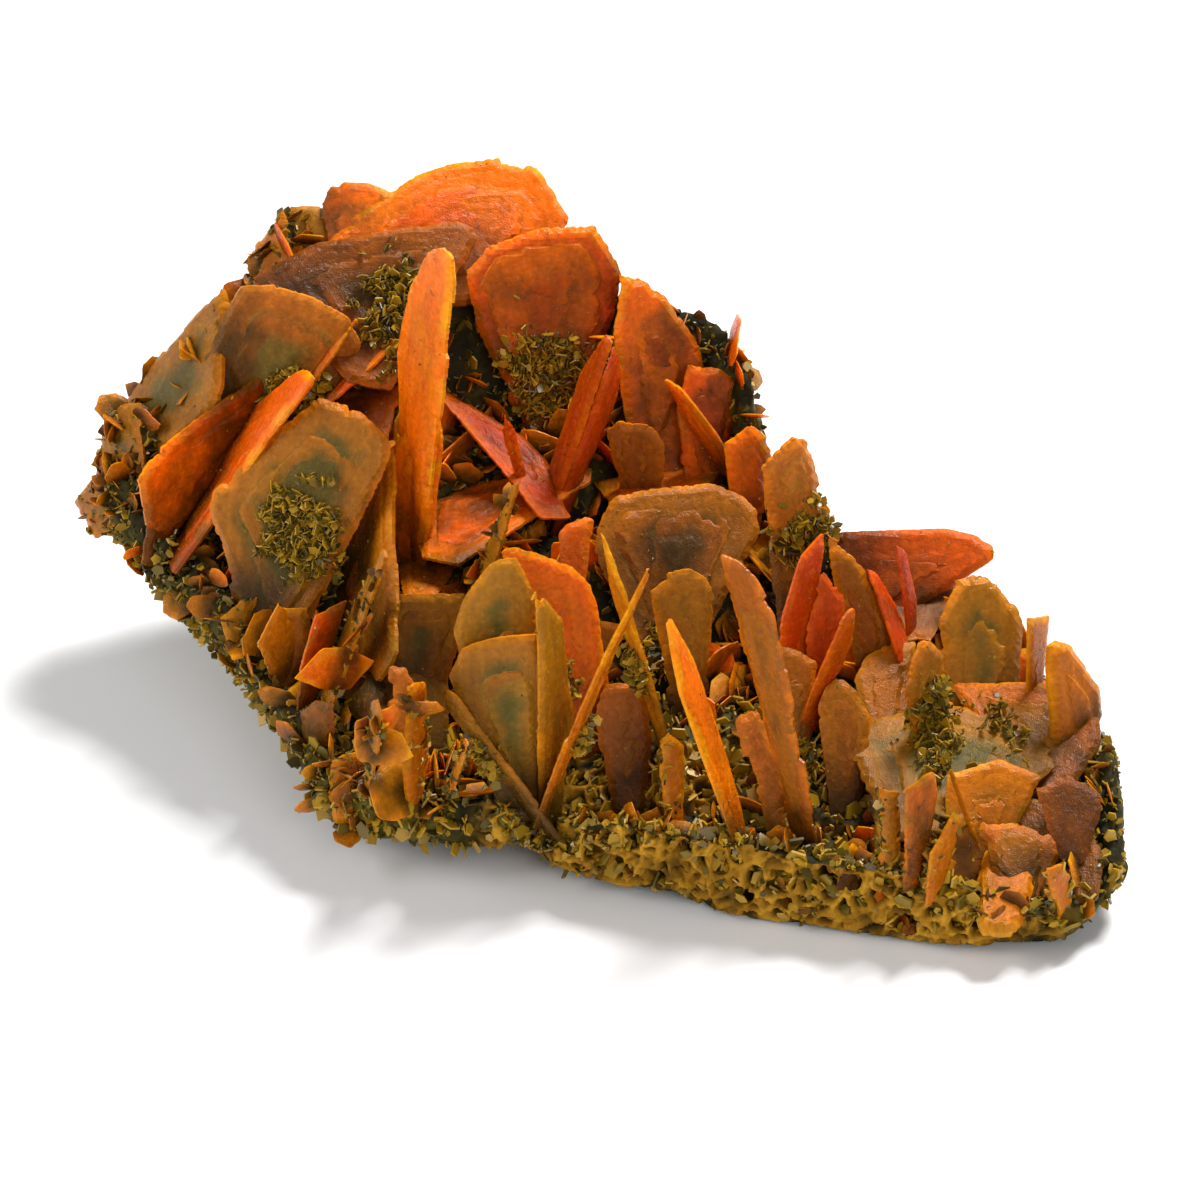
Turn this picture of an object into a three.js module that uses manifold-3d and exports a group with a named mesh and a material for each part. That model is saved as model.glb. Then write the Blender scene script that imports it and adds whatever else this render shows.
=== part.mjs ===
// Wulfenite: a jackstraw of thin tabular crystals standing on a piece of honeycombed crust.
// Millimetres, +Z up. The front faces -Y. The specimen rests on the flat low spots of its crust, at z = 0,
// and the origin is under the middle of its bounding box.
import * as THREE from "three";
import { ConvexGeometry } from "three/addons/geometries/ConvexGeometry.js";
import { ImprovedNoise } from "three/addons/math/ImprovedNoise.js";
import { mergeVertices } from "three/addons/utils/BufferGeometryUtils.js";
import Module from "manifold-3d";

const wasm = await Module();
wasm.setup();

// The viewpoint that the crystals were laid out from. Places in that view are in millimetres, across from the
// left and down from the top of a square field that is FIELD wide where it passes through the aim point.
const FIELD = 120;
const VIEW_DISTANCE = 600;
const VIEW_ELEVATION = THREE.MathUtils.degToRad(35);
const AIM = new THREE.Vector3(0, 0, 22);
const RIGHT = new THREE.Vector3(1, 0, 0);
const UP = new THREE.Vector3(0, Math.sin(VIEW_ELEVATION), Math.cos(VIEW_ELEVATION));
const AWAY = new THREE.Vector3(0, Math.cos(VIEW_ELEVATION), -Math.sin(VIEW_ELEVATION));
const EYE = AIM.clone().addScaledVector(AWAY, -VIEW_DISTANCE);

// How a crystal is made and set into the crust.
const GAP = 0.3; // clearance between two pieces
const BEVEL = 0.7; // width of the bevelled rim of a thick tablet
const BEVEL_FROM = 1.8; // a tablet this thick or thicker has the bevel
const BURY = 2; // how far the foot of a crystal reaches below the surface of the crust
const FOOT_SHARE = 0.5; // width of the foot, as a share of the crystal's width
const FOOT_MAX = 4.5;

// The crust. Its outline, seen from above, is a list of corners around CRUST_CENTRE.
const CRUST_CENTRE = new THREE.Vector2(0, 5);
const CRUST_OUTLINE = [
  [51, -23], [46, -28], [40, -30], [20, -25], [0, -20], [-10, -16.5], [-25, -15], [-31, -3], [-40, 9],
  [-52, 23], [-50, 31], [-40, 36], [-28, 39], [-14, 39], [0, 37], [12.5, 32], [17, 21], [29, 13], [43, 6],
  [51, -7],
];
// Heights of its upper side and underside, as [x, y, z].
const UPPER_SIDE = [
  [51, -22, 8], [45, -26, 5], [38, -28, 6], [28, -25, 9], [15, -22, 9.5], [0, -18, 9], [-10, -14, 9.5],
  [-24, -13, 10], [-30, -3, 13.5], [-39, 9, 17.5], [-51, 22, 22], [-49, 29, 25], [-41, 31, 32],
  [-34, 34, 37], [-25, 36, 39], [-10, 36, 38], [3, 34, 36], [12, 31, 35], [-7, 26, 27], [-20, 20, 27],
  [-33, 20, 27], [-20, 5, 19], [-5, 12, 22], [8, 18, 23], [16, 17, 22], [5, -2, 15], [16, 2, 15],
  [30, 8, 14], [43, 3, 12], [24, -10, 10], [38, -10, 9], [50, -8, 12], [48, -16, 10], [-14, -5, 13],
];
const UNDERSIDE = [
  [-51, 23, 15], [-40, 10, 9.5], [-31, -2, 6], [-25, -14, 3.2], [-10, -16, 3], [0, -19, 1.2], [20, -24, -0.5],
  [38, -27, -0.5], [50, -22, 1.6], [51, -8, 4.5], [43, 5, 4], [29, 12, 3.5], [17, 20, 6], [12, 31, 14],
  [0, 36, 9], [-15, 38, 8], [-28, 38, 11], [-40, 35, 16], [-30, 22, 4], [-24, 8, -1], [0, 0, -2],
  [20, -6, -2], [34, -14, -1.5], [-10, 22, -2], [4, 22, -0.5], [10, 8, -1.5], [-12, -4, -0.5],
];
const SMOOTHING = 2.5; // power of the inverse distance in the heights
const CRUST_DETAIL = 6; // how finely its faces are divided
const TOP_SHARE = 0.41; // share of the way round that is the upper side, and the same for the underside
const WALL_BULGE = 1.1;
const HOLLOW = 4.5; // how far the crust lies below the upper side heights, away from its rim
const RIM_SHARE = 0.22; // width of the rim, as a share of the way to the middle
const LUMP_SIZE = 5.5;
const LUMP_HEIGHT = 1.1;
const GRIT_SIZE = 2.3;
const GRIT_HEIGHT = 0.6;
const GRIT_LAYER = 7; // keeps the grit's pattern clear of the lumps' pattern
// The cells of the honeycombed front wall, between two directions seen from CRUST_CENTRE, in degrees.
const CELL_COUNT = 18;
const CELL_RADIUS = 1.3;
const CELLS_FROM = -112;
const CELLS_TO = -42;
const CELL_ROWS = [0.3, 0.62, 0.42, 0.74]; // shares of the wall's height
const CELL_SIZES = [1, 1.3, 0.8, 1.15, 0.7]; // shares of the radius

const COLOUR = {
  orange: 0xd8560c,
  amber: 0xe08818,
  red: 0xb83a10,
  brown: 0x7a4a18,
  olive: 0x7a6a24,
  pink: 0xc88468,
  crust: 0x6a5a1c,
};

// The crystals. A crystal is trimmed where it meets one of an earlier cluster.
// A row holds its colour, its thickness, the place in the view where it leaves the crust, its lean (how much
// farther away it gets per millimetre to the right, and per millimetre up), and its outline in the view.
const CLUSTERS = {
  // long blades across the centre front
  diagonal_blade: [
    ["amber", 0.8, [54.5, 80.8], [3, -1.8], [[64.8, 56.5], [65, 57.3], [61.5, 65.7], [56.9, 75.5],
      [54.2, 81], [57.4, 71.8], [60, 66.2]]],
  ],
  front_spear: [
    ["orange", 1, [73.5, 82.5], [2, 0.3], [[66.5, 62.1], [67, 61.7], [69.2, 65.7], [71.5, 72.1],
      [73.8, 79.7], [74, 83], [71.2, 78.7], [68.1, 69.5]]],
  ],
  leaning_blade: [
    ["amber", 0.7, [66, 73.5], [-2.7, -1.3], [[60, 53.1], [60.5, 53.9], [62.8, 59.8], [64.6, 67.7],
      [66.4, 72.3], [63, 65.2], [61, 58.5]]],
  ],
  long_dark_blade: [
    ["brown", 0.9, [80, 82], [-1.2, -0.9], [[72, 55.2], [74, 56], [75.7, 57.8], [77.8, 61.6], [78, 70],
      [80.3, 81.5], [77.5, 75], [75, 67], [73, 60]]],
  ],
  bent_plate: [
    ["orange", 1.2, [52.5, 79.5], [0.1, -0.5], [[44.7, 67.5], [46.2, 64.7], [49.8, 63.6], [53.9, 63.3],
      [55.4, 68], [55.2, 76], [53, 77], [47, 72]]],
    ["pink", 1.2, [52, 79.5], [0.1, -0.35], [[46.2, 59.8], [48.8, 56.5], [50.3, 55.7], [51.8, 55.7],
      [53.3, 59], [54.6, 63.5], [46, 65.5], [45.2, 63]]],
    ["orange", 1, [55, 80], [1.5, -0.5], [[53.3, 59], [54.5, 59.5], [56.2, 61.7], [57.3, 71.5],
      [56.5, 75.5], [54.8, 72]]],
    ["amber", 0.8, [55, 83], [-1.8, -1.8], [[44.4, 68.7], [45.7, 69.5], [50.3, 76.4], [55.9, 83.8],
      [53.9, 83.3], [46.7, 73.6], [44.4, 70.5]]],
  ],
  // small plates at the left front
  salmon_plates: [
    ["pink", 0.8, [40, 76], [0.3, 0], [[38.6, 66.4], [40.6, 66.7], [41.5, 68.5], [41.1, 71.3], [39.5, 72]]],
    ["pink", 0.8, [38.5, 74], [-0.2, 1], [[33.6, 68.5], [34.6, 67], [38.4, 66.4], [38.9, 68.5],
      [37.9, 69.8]]],
  ],
  grey_plate: [
    ["pink", 0.9, [32, 78], [-0.5, -0.5], [[30, 71], [31.5, 69.8], [33.5, 70.3], [33.5, 75], [32.5, 77.2],
      [30.5, 76.5]]],
  ],
  oval_plate: [
    ["olive", 0.9, [43, 69], [0.2, 0.2], [[39.6, 64], [40, 62.3], [42, 61.4], [44.2, 61.6], [44.9, 63],
      [44, 64.8], [41.8, 65.6]]],
  ],
  rimmed_plate: [
    ["amber", 0.9, [42, 68], [0, -0.2], [[38.3, 62.4], [39.6, 59.1], [43.7, 59.4], [46.4, 59], [47, 61],
      [45, 66]]],
  ],
  // the left flank
  foot_blade: [
    ["orange", 0.9, [31, 69], [1, -0.7], [[31.5, 61.3], [34.8, 59.8], [34.1, 61.9], [31.5, 66.4],
      [30, 66.7]]],
  ],
  long_edge_blade: [
    ["amber", 1.4, [38, 62], [-2, 0.4], [[39.4, 44], [38.4, 51.1], [38.7, 54.2], [34.3, 60], [32, 60.6],
      [34, 54.5], [37, 48]]],
  ],
  tall_blade: [
    ["orange", 1.4, [41.5, 54], [-1.9, -0.45], [[42.9, 25], [44.4, 24.7], [45.3, 25.7], [45.5, 29.3],
      [43.7, 41], [40.2, 42.3], [39.8, 34.4], [41.1, 28.8]]],
    ["amber", 1.4, [41.5, 54], [-1, -0.5], [[43.7, 40.5], [44.3, 43.3], [44.3, 44.6], [42.9, 48.4],
      [41.1, 51.8], [38.4, 51.1], [39.6, 44.1]]],
  ],
  mossy_plate: [
    ["olive", 1.6, [27.5, 61.5], [-0.2, -0.1], [[29.7, 40.8], [31.5, 39.6], [36.1, 40.8], [39.9, 44.1],
      [36.6, 51.2], [31.8, 60.3], [25.6, 59.3], [22.3, 56], [20.8, 51.1], [21.3, 49], [25, 45.5]]],
  ],
  double_blade: [
    ["orange", 1.4, [18.6, 54.5], [-3.2, 1.8], [[30.5, 36.7], [31.3, 37.7], [27.7, 41], [21, 49.5],
      [18, 54], [17.7, 53.3], [23.4, 42.3]]],
  ],
  orange_blades: [
    ["orange", 1.2, [17.5, 50], [0.9, -0.5], [[13.3, 48], [14.7, 45.9], [19.3, 42.1], [25.9, 37.5],
      [30, 36.6], [24.5, 42], [21.3, 45.5], [17, 47.5]]],
    ["orange", 1, [15.5, 55], [0.8, -0.5], [[14.4, 53.3], [14.8, 51.7], [17.2, 48.7], [19.8, 48.7],
      [19.3, 50.5], [16.2, 53.8]]],
  ],
  first_spear: [
    ["orange", 0.9, [30, 39], [-2.2, 1.3], [[30.7, 37], [31.5, 35.7], [36, 31.6], [33.5, 35.9],
      [31.5, 37.5]]],
  ],
  second_spear: [
    ["orange", 0.9, [31, 41], [-1.5, 1.5], [[30.5, 39.5], [32.8, 37.5], [39.8, 33.8], [37.6, 36.4],
      [35.3, 38.2], [31.5, 39.6]]],
  ],
  third_spear: [
    ["red", 0.9, [37, 43], [-0.5, 0.6], [[33, 39.6], [35.6, 38.7], [40.2, 38.5], [39.9, 41], [38.4, 41.5]]],
  ],
  rippled_plate: [
    ["brown", 1.4, [27.5, 40], [0, -0.5], [[22.8, 30.6], [24, 28.6], [27.7, 28.4], [31.8, 29.6],
      [35.1, 31.6], [36.2, 34.5], [30.5, 36.8], [21.3, 40.5], [20, 37], [21.3, 33.4]]],
  ],
  brown_plate: [
    ["brown", 1.6, [38, 33], [0, 0.3], [[24.9, 27.8], [31.5, 24.3], [41.5, 23.2], [45.7, 22], [47.7, 22.9],
      [48.1, 23.9], [44, 30], [40, 33], [36.5, 33], [30, 29.5]]],
  ],
  side_plates: [
    ["amber", 0.8, [28.5, 67.5], [0.2, -0.4], [[27.4, 60.5], [31, 60.5], [31.2, 64.9], [27.6, 65.1]]],
    ["amber", 0.7, [28.5, 67.5], [1, -0.8], [[25.4, 64.6], [27.8, 60], [29, 61], [27, 65]]],
  ],
  // the crest at the back
  crest_shield: [
    ["orange", 1.8, [55, 38], [0.1, -0.3], [[45.9, 27], [48.5, 24.2], [53.9, 22.2], [59.7, 21.9],
      [61.3, 24.7], [62.3, 27.5], [61.5, 31.5], [59, 36], [53, 37], [47, 33]]],
  ],
  crest_plate: [
    ["orange", 2, [46, 27.5], [0.12, 0.25], [[31.8, 24.7], [33, 23.2], [38.5, 21.3], [40.1, 19.5],
      [41.5, 17.3], [44.2, 16.4], [50.3, 15.7], [53.9, 16.8], [55.4, 19.4], [57.2, 21.9], [56, 25],
      [42, 28]]],
    ["orange", 1.2, [36, 27], [-0.1, 0.3], [[32, 20.5], [33, 18.6], [34.8, 18.1], [37, 18.3], [40, 19.5],
      [39.5, 22.5], [33, 23.5]]],
  ],
  crest_wing: [
    ["orange", 1.6, [65.5, 43.5], [0.3, -0.2], [[62, 27.1], [63.5, 27.5], [66.6, 29.3], [69.9, 34.4],
      [70.5, 38], [68.5, 42], [64, 40.5], [61, 33]]],
  ],
  crest_tail: [
    ["orange", 1.4, [70.5, 46], [0.5, -0.3], [[68.5, 36.5], [71.7, 36.4], [73.5, 38], [73.2, 43.3],
      [70.5, 45], [67.5, 41]]],
  ],
  // beside the dark cavity
  twin_spears: [
    ["red", 1, [55.8, 48], [-2.1, 0.1], [[54.9, 46.7], [58.2, 37], [60.7, 33.4], [61.3, 34.2], [58.7, 41.8],
      [56.4, 46.4]]],
    ["red", 0.9, [57.5, 48], [1.2, -0.7], [[57.2, 46.1], [58.4, 42.8], [61.5, 34.4], [62, 35.2],
      [62.3, 37.7], [61.3, 40.8]]],
  ],
  right_diagonal_blade: [
    ["orange", 0.9, [74, 48.5], [-1.3, -1.5], [[66.4, 37.7], [68.1, 38.7], [71.7, 43.3], [74.3, 47.7],
      [73.5, 47.6], [68.4, 42.3]]],
  ],
  cavity_blades: [
    ["red", 0.8, [52.3, 49], [1, -0.7], [[50.5, 41.3], [51.4, 42.1], [52.8, 47.7], [51.3, 47.6],
      [50.4, 44.1]]],
    ["brown", 0.8, [52.8, 47.5], [0.8, 1.3], [[43.8, 39.5], [47, 40.3], [52.4, 43.7], [54.6, 46],
      [50, 43.4]]],
  ],
  cavity_plate: [
    ["brown", 1, [64, 48.5], [0, -0.5], [[60.5, 43], [62, 41.8], [65, 42.2], [66.6, 44.5], [66, 47],
      [62, 47.6]]],
  ],
  right_orange_plate: [
    ["orange", 1.2, [75, 50.5], [0.3, -0.4], [[72.2, 44.4], [75, 42.4], [77.1, 44], [77.2, 45.5],
      [75.5, 49.4], [73.5, 48]]],
  ],
  // nearly level blades and round plates of the centre
  octagon_plate: [
    ["orange", 1.6, [67, 61.5], [0.1, 0.2], [[59.3, 55.2], [59.5, 52.7], [60.5, 50.4], [61.5, 49.4],
      [65.1, 48.7], [71.2, 48.1], [74.3, 49.4], [75.8, 50.9], [76.2, 53.5], [73, 58.5], [69, 60],
      [62, 59.6]]],
  ],
  level_blade_left: [
    ["orange", 1.1, [47, 53], [-0.2, 1.6], [[41.4, 51.9], [42.6, 50.1], [49.3, 48.1], [57.7, 46.4],
      [59.2, 46.8], [59.2, 48.1], [46.2, 51.6]]],
  ],
  level_blade_right: [
    ["orange", 1, [66, 50], [-0.2, 2], [[59, 48.3], [65.3, 47.1], [71.2, 46.2], [72.5, 46.8], [71.2, 47.8],
      [61.5, 48.9]]],
  ],
  low_blade: [
    ["amber", 0.9, [43, 57], [-0.1, 1.8], [[38.8, 55.7], [41.1, 53.9], [47.2, 51.4], [50.3, 50.8],
      [46.7, 53.9], [41.1, 55.4]]],
  ],
  back_fan: [
    ["orange", 1.2, [58.5, 70], [0.3, -0.3], [[50, 55], [51.3, 54.5], [54.4, 56], [57.4, 56.5],
      [59.2, 58.3], [59.9, 60.6], [59, 63.6], [57.5, 66]]],
  ],
  red_crystal: [
    ["red", 1.5, [57.5, 57], [0, 0], [[55.6, 53.4], [56.4, 52.2], [58.4, 51.5], [59.5, 51.9], [59.1, 54.2],
      [56.4, 55.2]]],
  ],
  round_plate: [
    ["olive", 1.1, [69, 66], [0.1, -0.4], [[64.6, 59.1], [66.6, 57.3], [68.9, 56.8], [70.9, 57.9],
      [72, 60.8], [71.7, 62.9], [70.2, 64.4], [67.9, 63.9]]],
  ],
  low_brown_plate: [
    ["brown", 1.1, [62.5, 77], [0.1, -0.2], [[59.3, 72], [59.7, 69.5], [60.7, 68], [63.3, 67.7],
      [64.5, 68.7], [65.5, 71.6], [65.2, 75], [60, 76]]],
  ],
  // the right part of the specimen
  cleavage_plate: [
    ["pink", 1.2, [77, 79.5], [0.2, -0.2], [[73.4, 72.2], [74.2, 71.2], [75.8, 70.8], [77.5, 74.5],
      [78.3, 76.5], [76.8, 77], [74.2, 75.5]]],
  ],
  pair_front: [
    ["orange", 1.4, [102, 88.5], [0.1, 0.3], [[97.7, 82.9], [98.4, 81.9], [101.6, 81.7], [103.8, 82.5],
      [106.2, 84.2], [106.2, 85.6], [104.5, 86.4], [99.6, 86.1]]],
  ],
  pair_back: [
    ["orange", 1.2, [107.3, 88.5], [-0.2, 0.6], [[100.6, 81.5], [101.6, 80.2], [103.3, 79.9], [107, 81.5],
      [109.1, 82.2], [110.5, 85.8], [108.2, 87.3], [102, 83.2]]],
  ],
  rim_blades: [
    ["orange", 1, [91.5, 87], [1.2, -0.6], [[90.3, 79], [92.4, 77.5], [93.3, 77.1], [93.7, 79.3],
      [92.4, 85.7], [90.5, 85.3]]],
  ],
  under_plate: [
    ["red", 1, [98, 83.5], [0.1, 0.2], [[94.7, 77.2], [99.8, 75.8], [104.2, 77.6], [101.9, 79.2],
      [97, 81.9]]],
    ["amber", 0.6, [97.8, 84.5], [-2, -1], [[94.7, 77], [95.3, 76.8], [97.8, 83.8], [97, 83.5]]],
  ],
  dark_red_plate: [
    ["red", 1, [107, 83], [0, 0.3], [[103.5, 78.5], [106.2, 77], [107.6, 77.6], [110.1, 79.5],
      [110.1, 81.5], [104.5, 80.2]]],
  ],
  curved_plate: [
    ["olive", 1.2, [93, 79.5], [-0.1, 0.9], [[83.4, 73.5], [84, 72.7], [94.9, 70.2], [99.5, 71.3],
      [103.6, 72.8], [106.1, 76.9], [104.1, 77.7], [87.8, 78.5], [85, 76.2]]],
    ["orange", 1.2, [93, 74], [1.2, -0.6], [[91.9, 63.9], [92.9, 63.7], [94.4, 65.2], [94.5, 67.5],
      [93.6, 72.6], [90.6, 70.6], [90.3, 69]]],
  ],
  end_crystals: [
    ["orange", 1.4, [104.5, 75.5], [-0.2, 0.6], [[94.7, 68.5], [95.9, 68], [105.6, 68.2], [107.2, 68.4],
      [110.2, 71.6], [110.4, 73.9], [108.7, 75.9], [99.5, 71.3]]],
    ["orange", 2.2, [107, 73], [0.6, -0.3], [[104.4, 64.6], [105.6, 63.7], [107.2, 64.1], [108.9, 66.2],
      [110.3, 68.7], [110.4, 71.6], [104.2, 68]]],
    ["orange", 0.9, [103.3, 70.5], [1.5, -0.6], [[102.6, 61.8], [104.9, 61.4], [104.4, 65], [103.2, 68.5],
      [102.6, 68]]],
  ],
  fan_plate: [
    ["orange", 1.5, [98, 70], [0.1, -0.1], [[93.4, 62], [95.2, 58.1], [97.7, 57.3], [99.8, 58.1],
      [101.8, 60.9], [102.4, 62.6], [102, 68], [96, 68.2]]],
  ],
  olive_rim_plate: [
    ["amber", 1, [88.5, 72], [0.2, 0.4], [[85.2, 68.3], [86.5, 65.7], [88.8, 64.4], [91.6, 64.1],
      [90.3, 69.6], [86.2, 69.6]]],
  ],
  long_red_blade: [
    ["red", 1, [80.8, 72.5], [1.2, -1], [[84, 62], [85, 60.7], [85.5, 60.7], [85.2, 64.2], [81.4, 70.8],
      [80.8, 70]]],
  ],
  olive_grey_plate: [
    ["olive", 1.2, [79, 73], [0.2, 0], [[76, 65], [77.3, 64.2], [79.9, 65], [81.9, 66.2], [80.9, 68],
      [77.8, 71.3]]],
  ],
  brown_right_plate: [
    ["brown", 1, [84.5, 75.5], [0.2, 0.1], [[81.7, 70.8], [82.7, 68], [84.2, 67.8], [86, 69.3],
      [87.3, 71.8], [85, 72.9]]],
  ],
  red_jags: [
    ["red", 1, [79.5, 66], [1.2, -0.5], [[78, 62.2], [79.1, 59.9], [80, 55.7], [82.3, 53], [82.3, 55.3],
      [80, 63]]],
    ["red", 1, [82.3, 67], [0.3, -0.3], [[80.3, 62.9], [82, 57.5], [82.8, 57.1], [84.6, 59.9], [84, 62.4],
      [81.7, 65.5]]],
  ],
  thin_reds: [
    ["red", 0.8, [90.3, 65], [2, 0.5], [[86.5, 56.7], [87.5, 57.1], [90.3, 61.6], [90.3, 63.4]]],
    ["red", 0.8, [91, 63], [2, -0.5], [[89.7, 54.5], [90.5, 55], [91.6, 59.9], [90.6, 61.6]]],
  ],
  brown_olive_plate: [
    ["brown", 1.2, [87, 65], [0.2, -0.3], [[82.6, 52.9], [85, 55.3], [89.1, 59.9], [89.1, 63.4],
      [86.8, 62.6], [83, 56.8]]],
  ],
  small_olive_plate: [
    ["olive", 0.8, [78.5, 60], [0, 0], [[76.8, 54], [78.5, 52.5], [80, 54], [79.5, 57.5], [77.5, 58]]],
  ],
  level_right_leaf: [
    ["amber", 0.9, [91.5, 61.5], [0, 1.2], [[87.3, 56.9], [90.3, 56], [95.2, 56.6], [97, 57.5],
      [94.9, 58.6], [88.3, 58.1]]],
  ],
  level_right_blade: [
    ["orange", 1.4, [87.5, 60.5], [-0.1, 0.2], [[83.7, 53.2], [94.4, 52.8], [97.5, 53.5], [99.5, 54.5],
      [99.5, 56], [97, 57.1], [86.8, 56.5]]],
  ],
  streaked_plate: [
    ["pink", 1.6, [79.5, 54.5], [0.5, -0.6], [[76, 46.7], [77.3, 45.6], [79.4, 43.5], [80.9, 43.9],
      [82, 48.2], [82.8, 52.2], [76.7, 50.4]]],
  ],
};

// Small plates and chips that are one with the crust, in the same form.
const SMALL_CRYSTALS = [
  ["brown", 0.9, [70, 70.5], [0.3, 0.8], [[65.1, 67.7], [67.4, 66.6], [71.7, 64.9], [73.8, 64.8],
    [74, 67], [70, 69]]],
  ["olive", 0.7, [36.5, 79.5], [-3, -0.9], [[37.2, 70], [37.8, 69.8], [38.4, 72], [36.8, 79.5],
    [36.2, 79]]],
  ["olive", 0.9, [41.5, 79.8], [2, -0.7], [[40.8, 68.5], [42.6, 68], [42.9, 73.3], [41.4, 79.7],
    [40.3, 76.9]]],
  ["amber", 0.6, [44.5, 80], [-3, -0.8], [[46.5, 73.6], [46.9, 74.5], [45.5, 79], [44.4, 79.5]]],
  ["orange", 0.9, [34.5, 80.5], [0.2, -0.3], [[32.8, 79.5], [33, 76.1], [34.1, 75.1], [36.1, 74.7],
    [36.9, 75.4], [36.1, 78.4]]],
  ["olive", 0.9, [27.5, 29], [-0.5, 0.5], [[26.4, 25], [28.4, 24.3], [30.5, 24.7], [25.9, 27.5],
    [23.8, 29]]],
  ["amber", 0.9, [27.5, 27.5], [-1, 0], [[24.6, 26], [27, 22.5], [28.4, 20.6], [29, 22], [25.5, 27.2]]],
  ["olive", 0.9, [20.5, 37], [-1, 0.2], [[16.2, 35.9], [20.3, 31.1], [22.5, 28.8], [23, 30.5], [20.5, 34],
    [17.5, 37]]],
  ["olive", 0.9, [15, 42.5], [-1, 0.2], [[12.4, 40], [13.7, 38.5], [17, 35.5], [17.5, 37.5], [15, 41]]],
  ["olive", 0.9, [13, 46.5], [-1, 0], [[10.1, 43.3], [12, 40.5], [14, 40], [14, 43], [11.5, 46.5],
    [10, 46]]],
  ["amber", 0.9, [10.5, 51.5], [-1, 0], [[7.4, 50.2], [9.8, 47], [12, 46], [11.5, 49.5], [9, 51.5]]],
  ["olive", 0.7, [20.6, 62.3], [-3, -0.7], [[18.7, 54.5], [19.2, 54.2], [20.7, 61.6], [19.6, 60.5]]],
  ["olive", 0.8, [24.5, 64.5], [0.5, -0.3], [[22, 61.8], [24.2, 60], [27, 59.2], [26.9, 60.2],
    [22.5, 62.8]]],
  ["orange", 0.7, [28, 71], [0, 0.8], [[26.6, 68.8], [28, 67.8], [29.6, 67.7], [29, 68.9], [27.5, 69.5]]],
  ["olive", 1.6, [70.5, 37], [0.3, 0.2], [[67.9, 30.8], [68.9, 30.3], [71.2, 32.6], [73.2, 34.2],
    [73, 35.9], [70.2, 36.5]]],
  ["red", 0.7, [47.6, 50], [2, -0.7], [[45.2, 44.1], [46, 44.3], [47.7, 48.9], [46.8, 48.7]]],
  ["olive", 0.8, [67.3, 80.5], [0.5, -0.3], [[65.8, 75], [66.8, 73.1], [68.7, 74.5], [68.5, 78],
    [66.5, 78.2]]],
  ["amber", 0.9, [106.3, 91], [1, -0.7], [[104.5, 86.8], [106.2, 86.2], [107.1, 87.5], [107, 90.8],
    [105.6, 89.5]]],
  ["amber", 0.8, [99.5, 91.5], [0, 1], [[96.6, 89], [97.7, 88.6], [99.8, 89], [103.2, 90.8], [99.2, 91.2]]],
  ["amber", 0.8, [93.6, 88.3], [1.5, -0.6], [[92.9, 85.5], [95.5, 80.8], [96.2, 81.2], [96, 83],
    [93.6, 87.2]]],
  ["olive", 0.9, [88.8, 86], [0.6, -0.6], [[87.6, 78.6], [90, 79.1], [90, 85], [88.5, 85]]],
  ["red", 0.8, [92, 66], [0.3, -0.4], [[90.5, 62.4], [92.4, 58.7], [93.4, 60.9], [92.6, 63.9],
    [91.6, 64.2]]],
  ["red", 1, [31, 27], [0, 0.2], [[28.2, 23.7], [28.2, 21.9], [28.7, 20.6], [32, 20.5], [33.4, 22.5],
    [30.5, 24.2]]],
  ["amber", 0.8, [47.5, 58.5], [-2.5, -0.2], [[47.7, 57.5], [49.3, 54.5], [51.3, 48.3], [51.9, 48.2],
    [49.9, 55.7]]],
  ["amber", 1, [33, 69.5], [-2, 0.4], [[38.4, 54.7], [38.7, 56], [34.3, 64.2], [32.3, 69], [35.5, 60]]],
];

const noise = new ImprovedNoise();

// A solid for cutting and joining, from a geometry.
function solidFrom(geometry) {
  const bare = new THREE.BufferGeometry().setAttribute("position", geometry.getAttribute("position"));
  if (geometry.index) bare.setIndex(geometry.index);
  const merged = mergeVertices(bare, 1e-4);
  return new wasm.Manifold(
    new wasm.Mesh({
      numProp: 3,
      vertProperties: new Float32Array(merged.attributes.position.array),
      triVerts: new Uint32Array(merged.index.array),
    }),
  );
}

function geometryFrom(solid) {
  const { vertProperties, triVerts } = solid.getMesh();
  const geometry = new THREE.BufferGeometry();
  geometry.setAttribute("position", new THREE.BufferAttribute(new Float32Array(vertProperties), 3));
  geometry.setIndex(new THREE.BufferAttribute(new Uint32Array(triVerts), 1));
  geometry.computeVertexNormals();
  return geometry;
}

// A cut can leave loose chips: only the largest body stays.
function largestBody(solid) {
  const bodies = solid.decompose();
  return bodies.reduce((a, b) => (b.volume() > a.volume() ? b : a));
}

function heightAt(samples, x, y) {
  let sum = 0;
  let weights = 0;
  for (const [sx, sy, sz] of samples) {
    const weight = 1 / ((x - sx) ** 2 + (y - sy) ** 2 + 1) ** SMOOTHING;
    sum += weight * sz;
    weights += weight;
  }
  return sum / weights;
}

const upperSide = (x, y) => heightAt(UPPER_SIDE, x, y);
const underside = (x, y) => Math.max(0, heightAt(UNDERSIDE, x, y));

// Distance from CRUST_CENTRE to the crust's outline in the direction of an angle.
function crustReach(angle) {
  const corners = CRUST_OUTLINE.map(([x, y]) => new THREE.Vector2(x, y).sub(CRUST_CENTRE));
  const direction = new THREE.Vector2(Math.cos(angle), Math.sin(angle));
  let reach = 0;
  corners.forEach((a, i) => {
    const side = corners[(i + 1) % corners.length].clone().sub(a);
    const across = direction.cross(side);
    if (Math.abs(across) < 1e-9) return;
    const along = a.cross(side) / across;
    const share = a.cross(direction) / across;
    if (along > 0 && share >= -1e-9 && share <= 1 + 1e-9) reach = Math.max(reach, along);
  });
  return reach;
}

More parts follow.
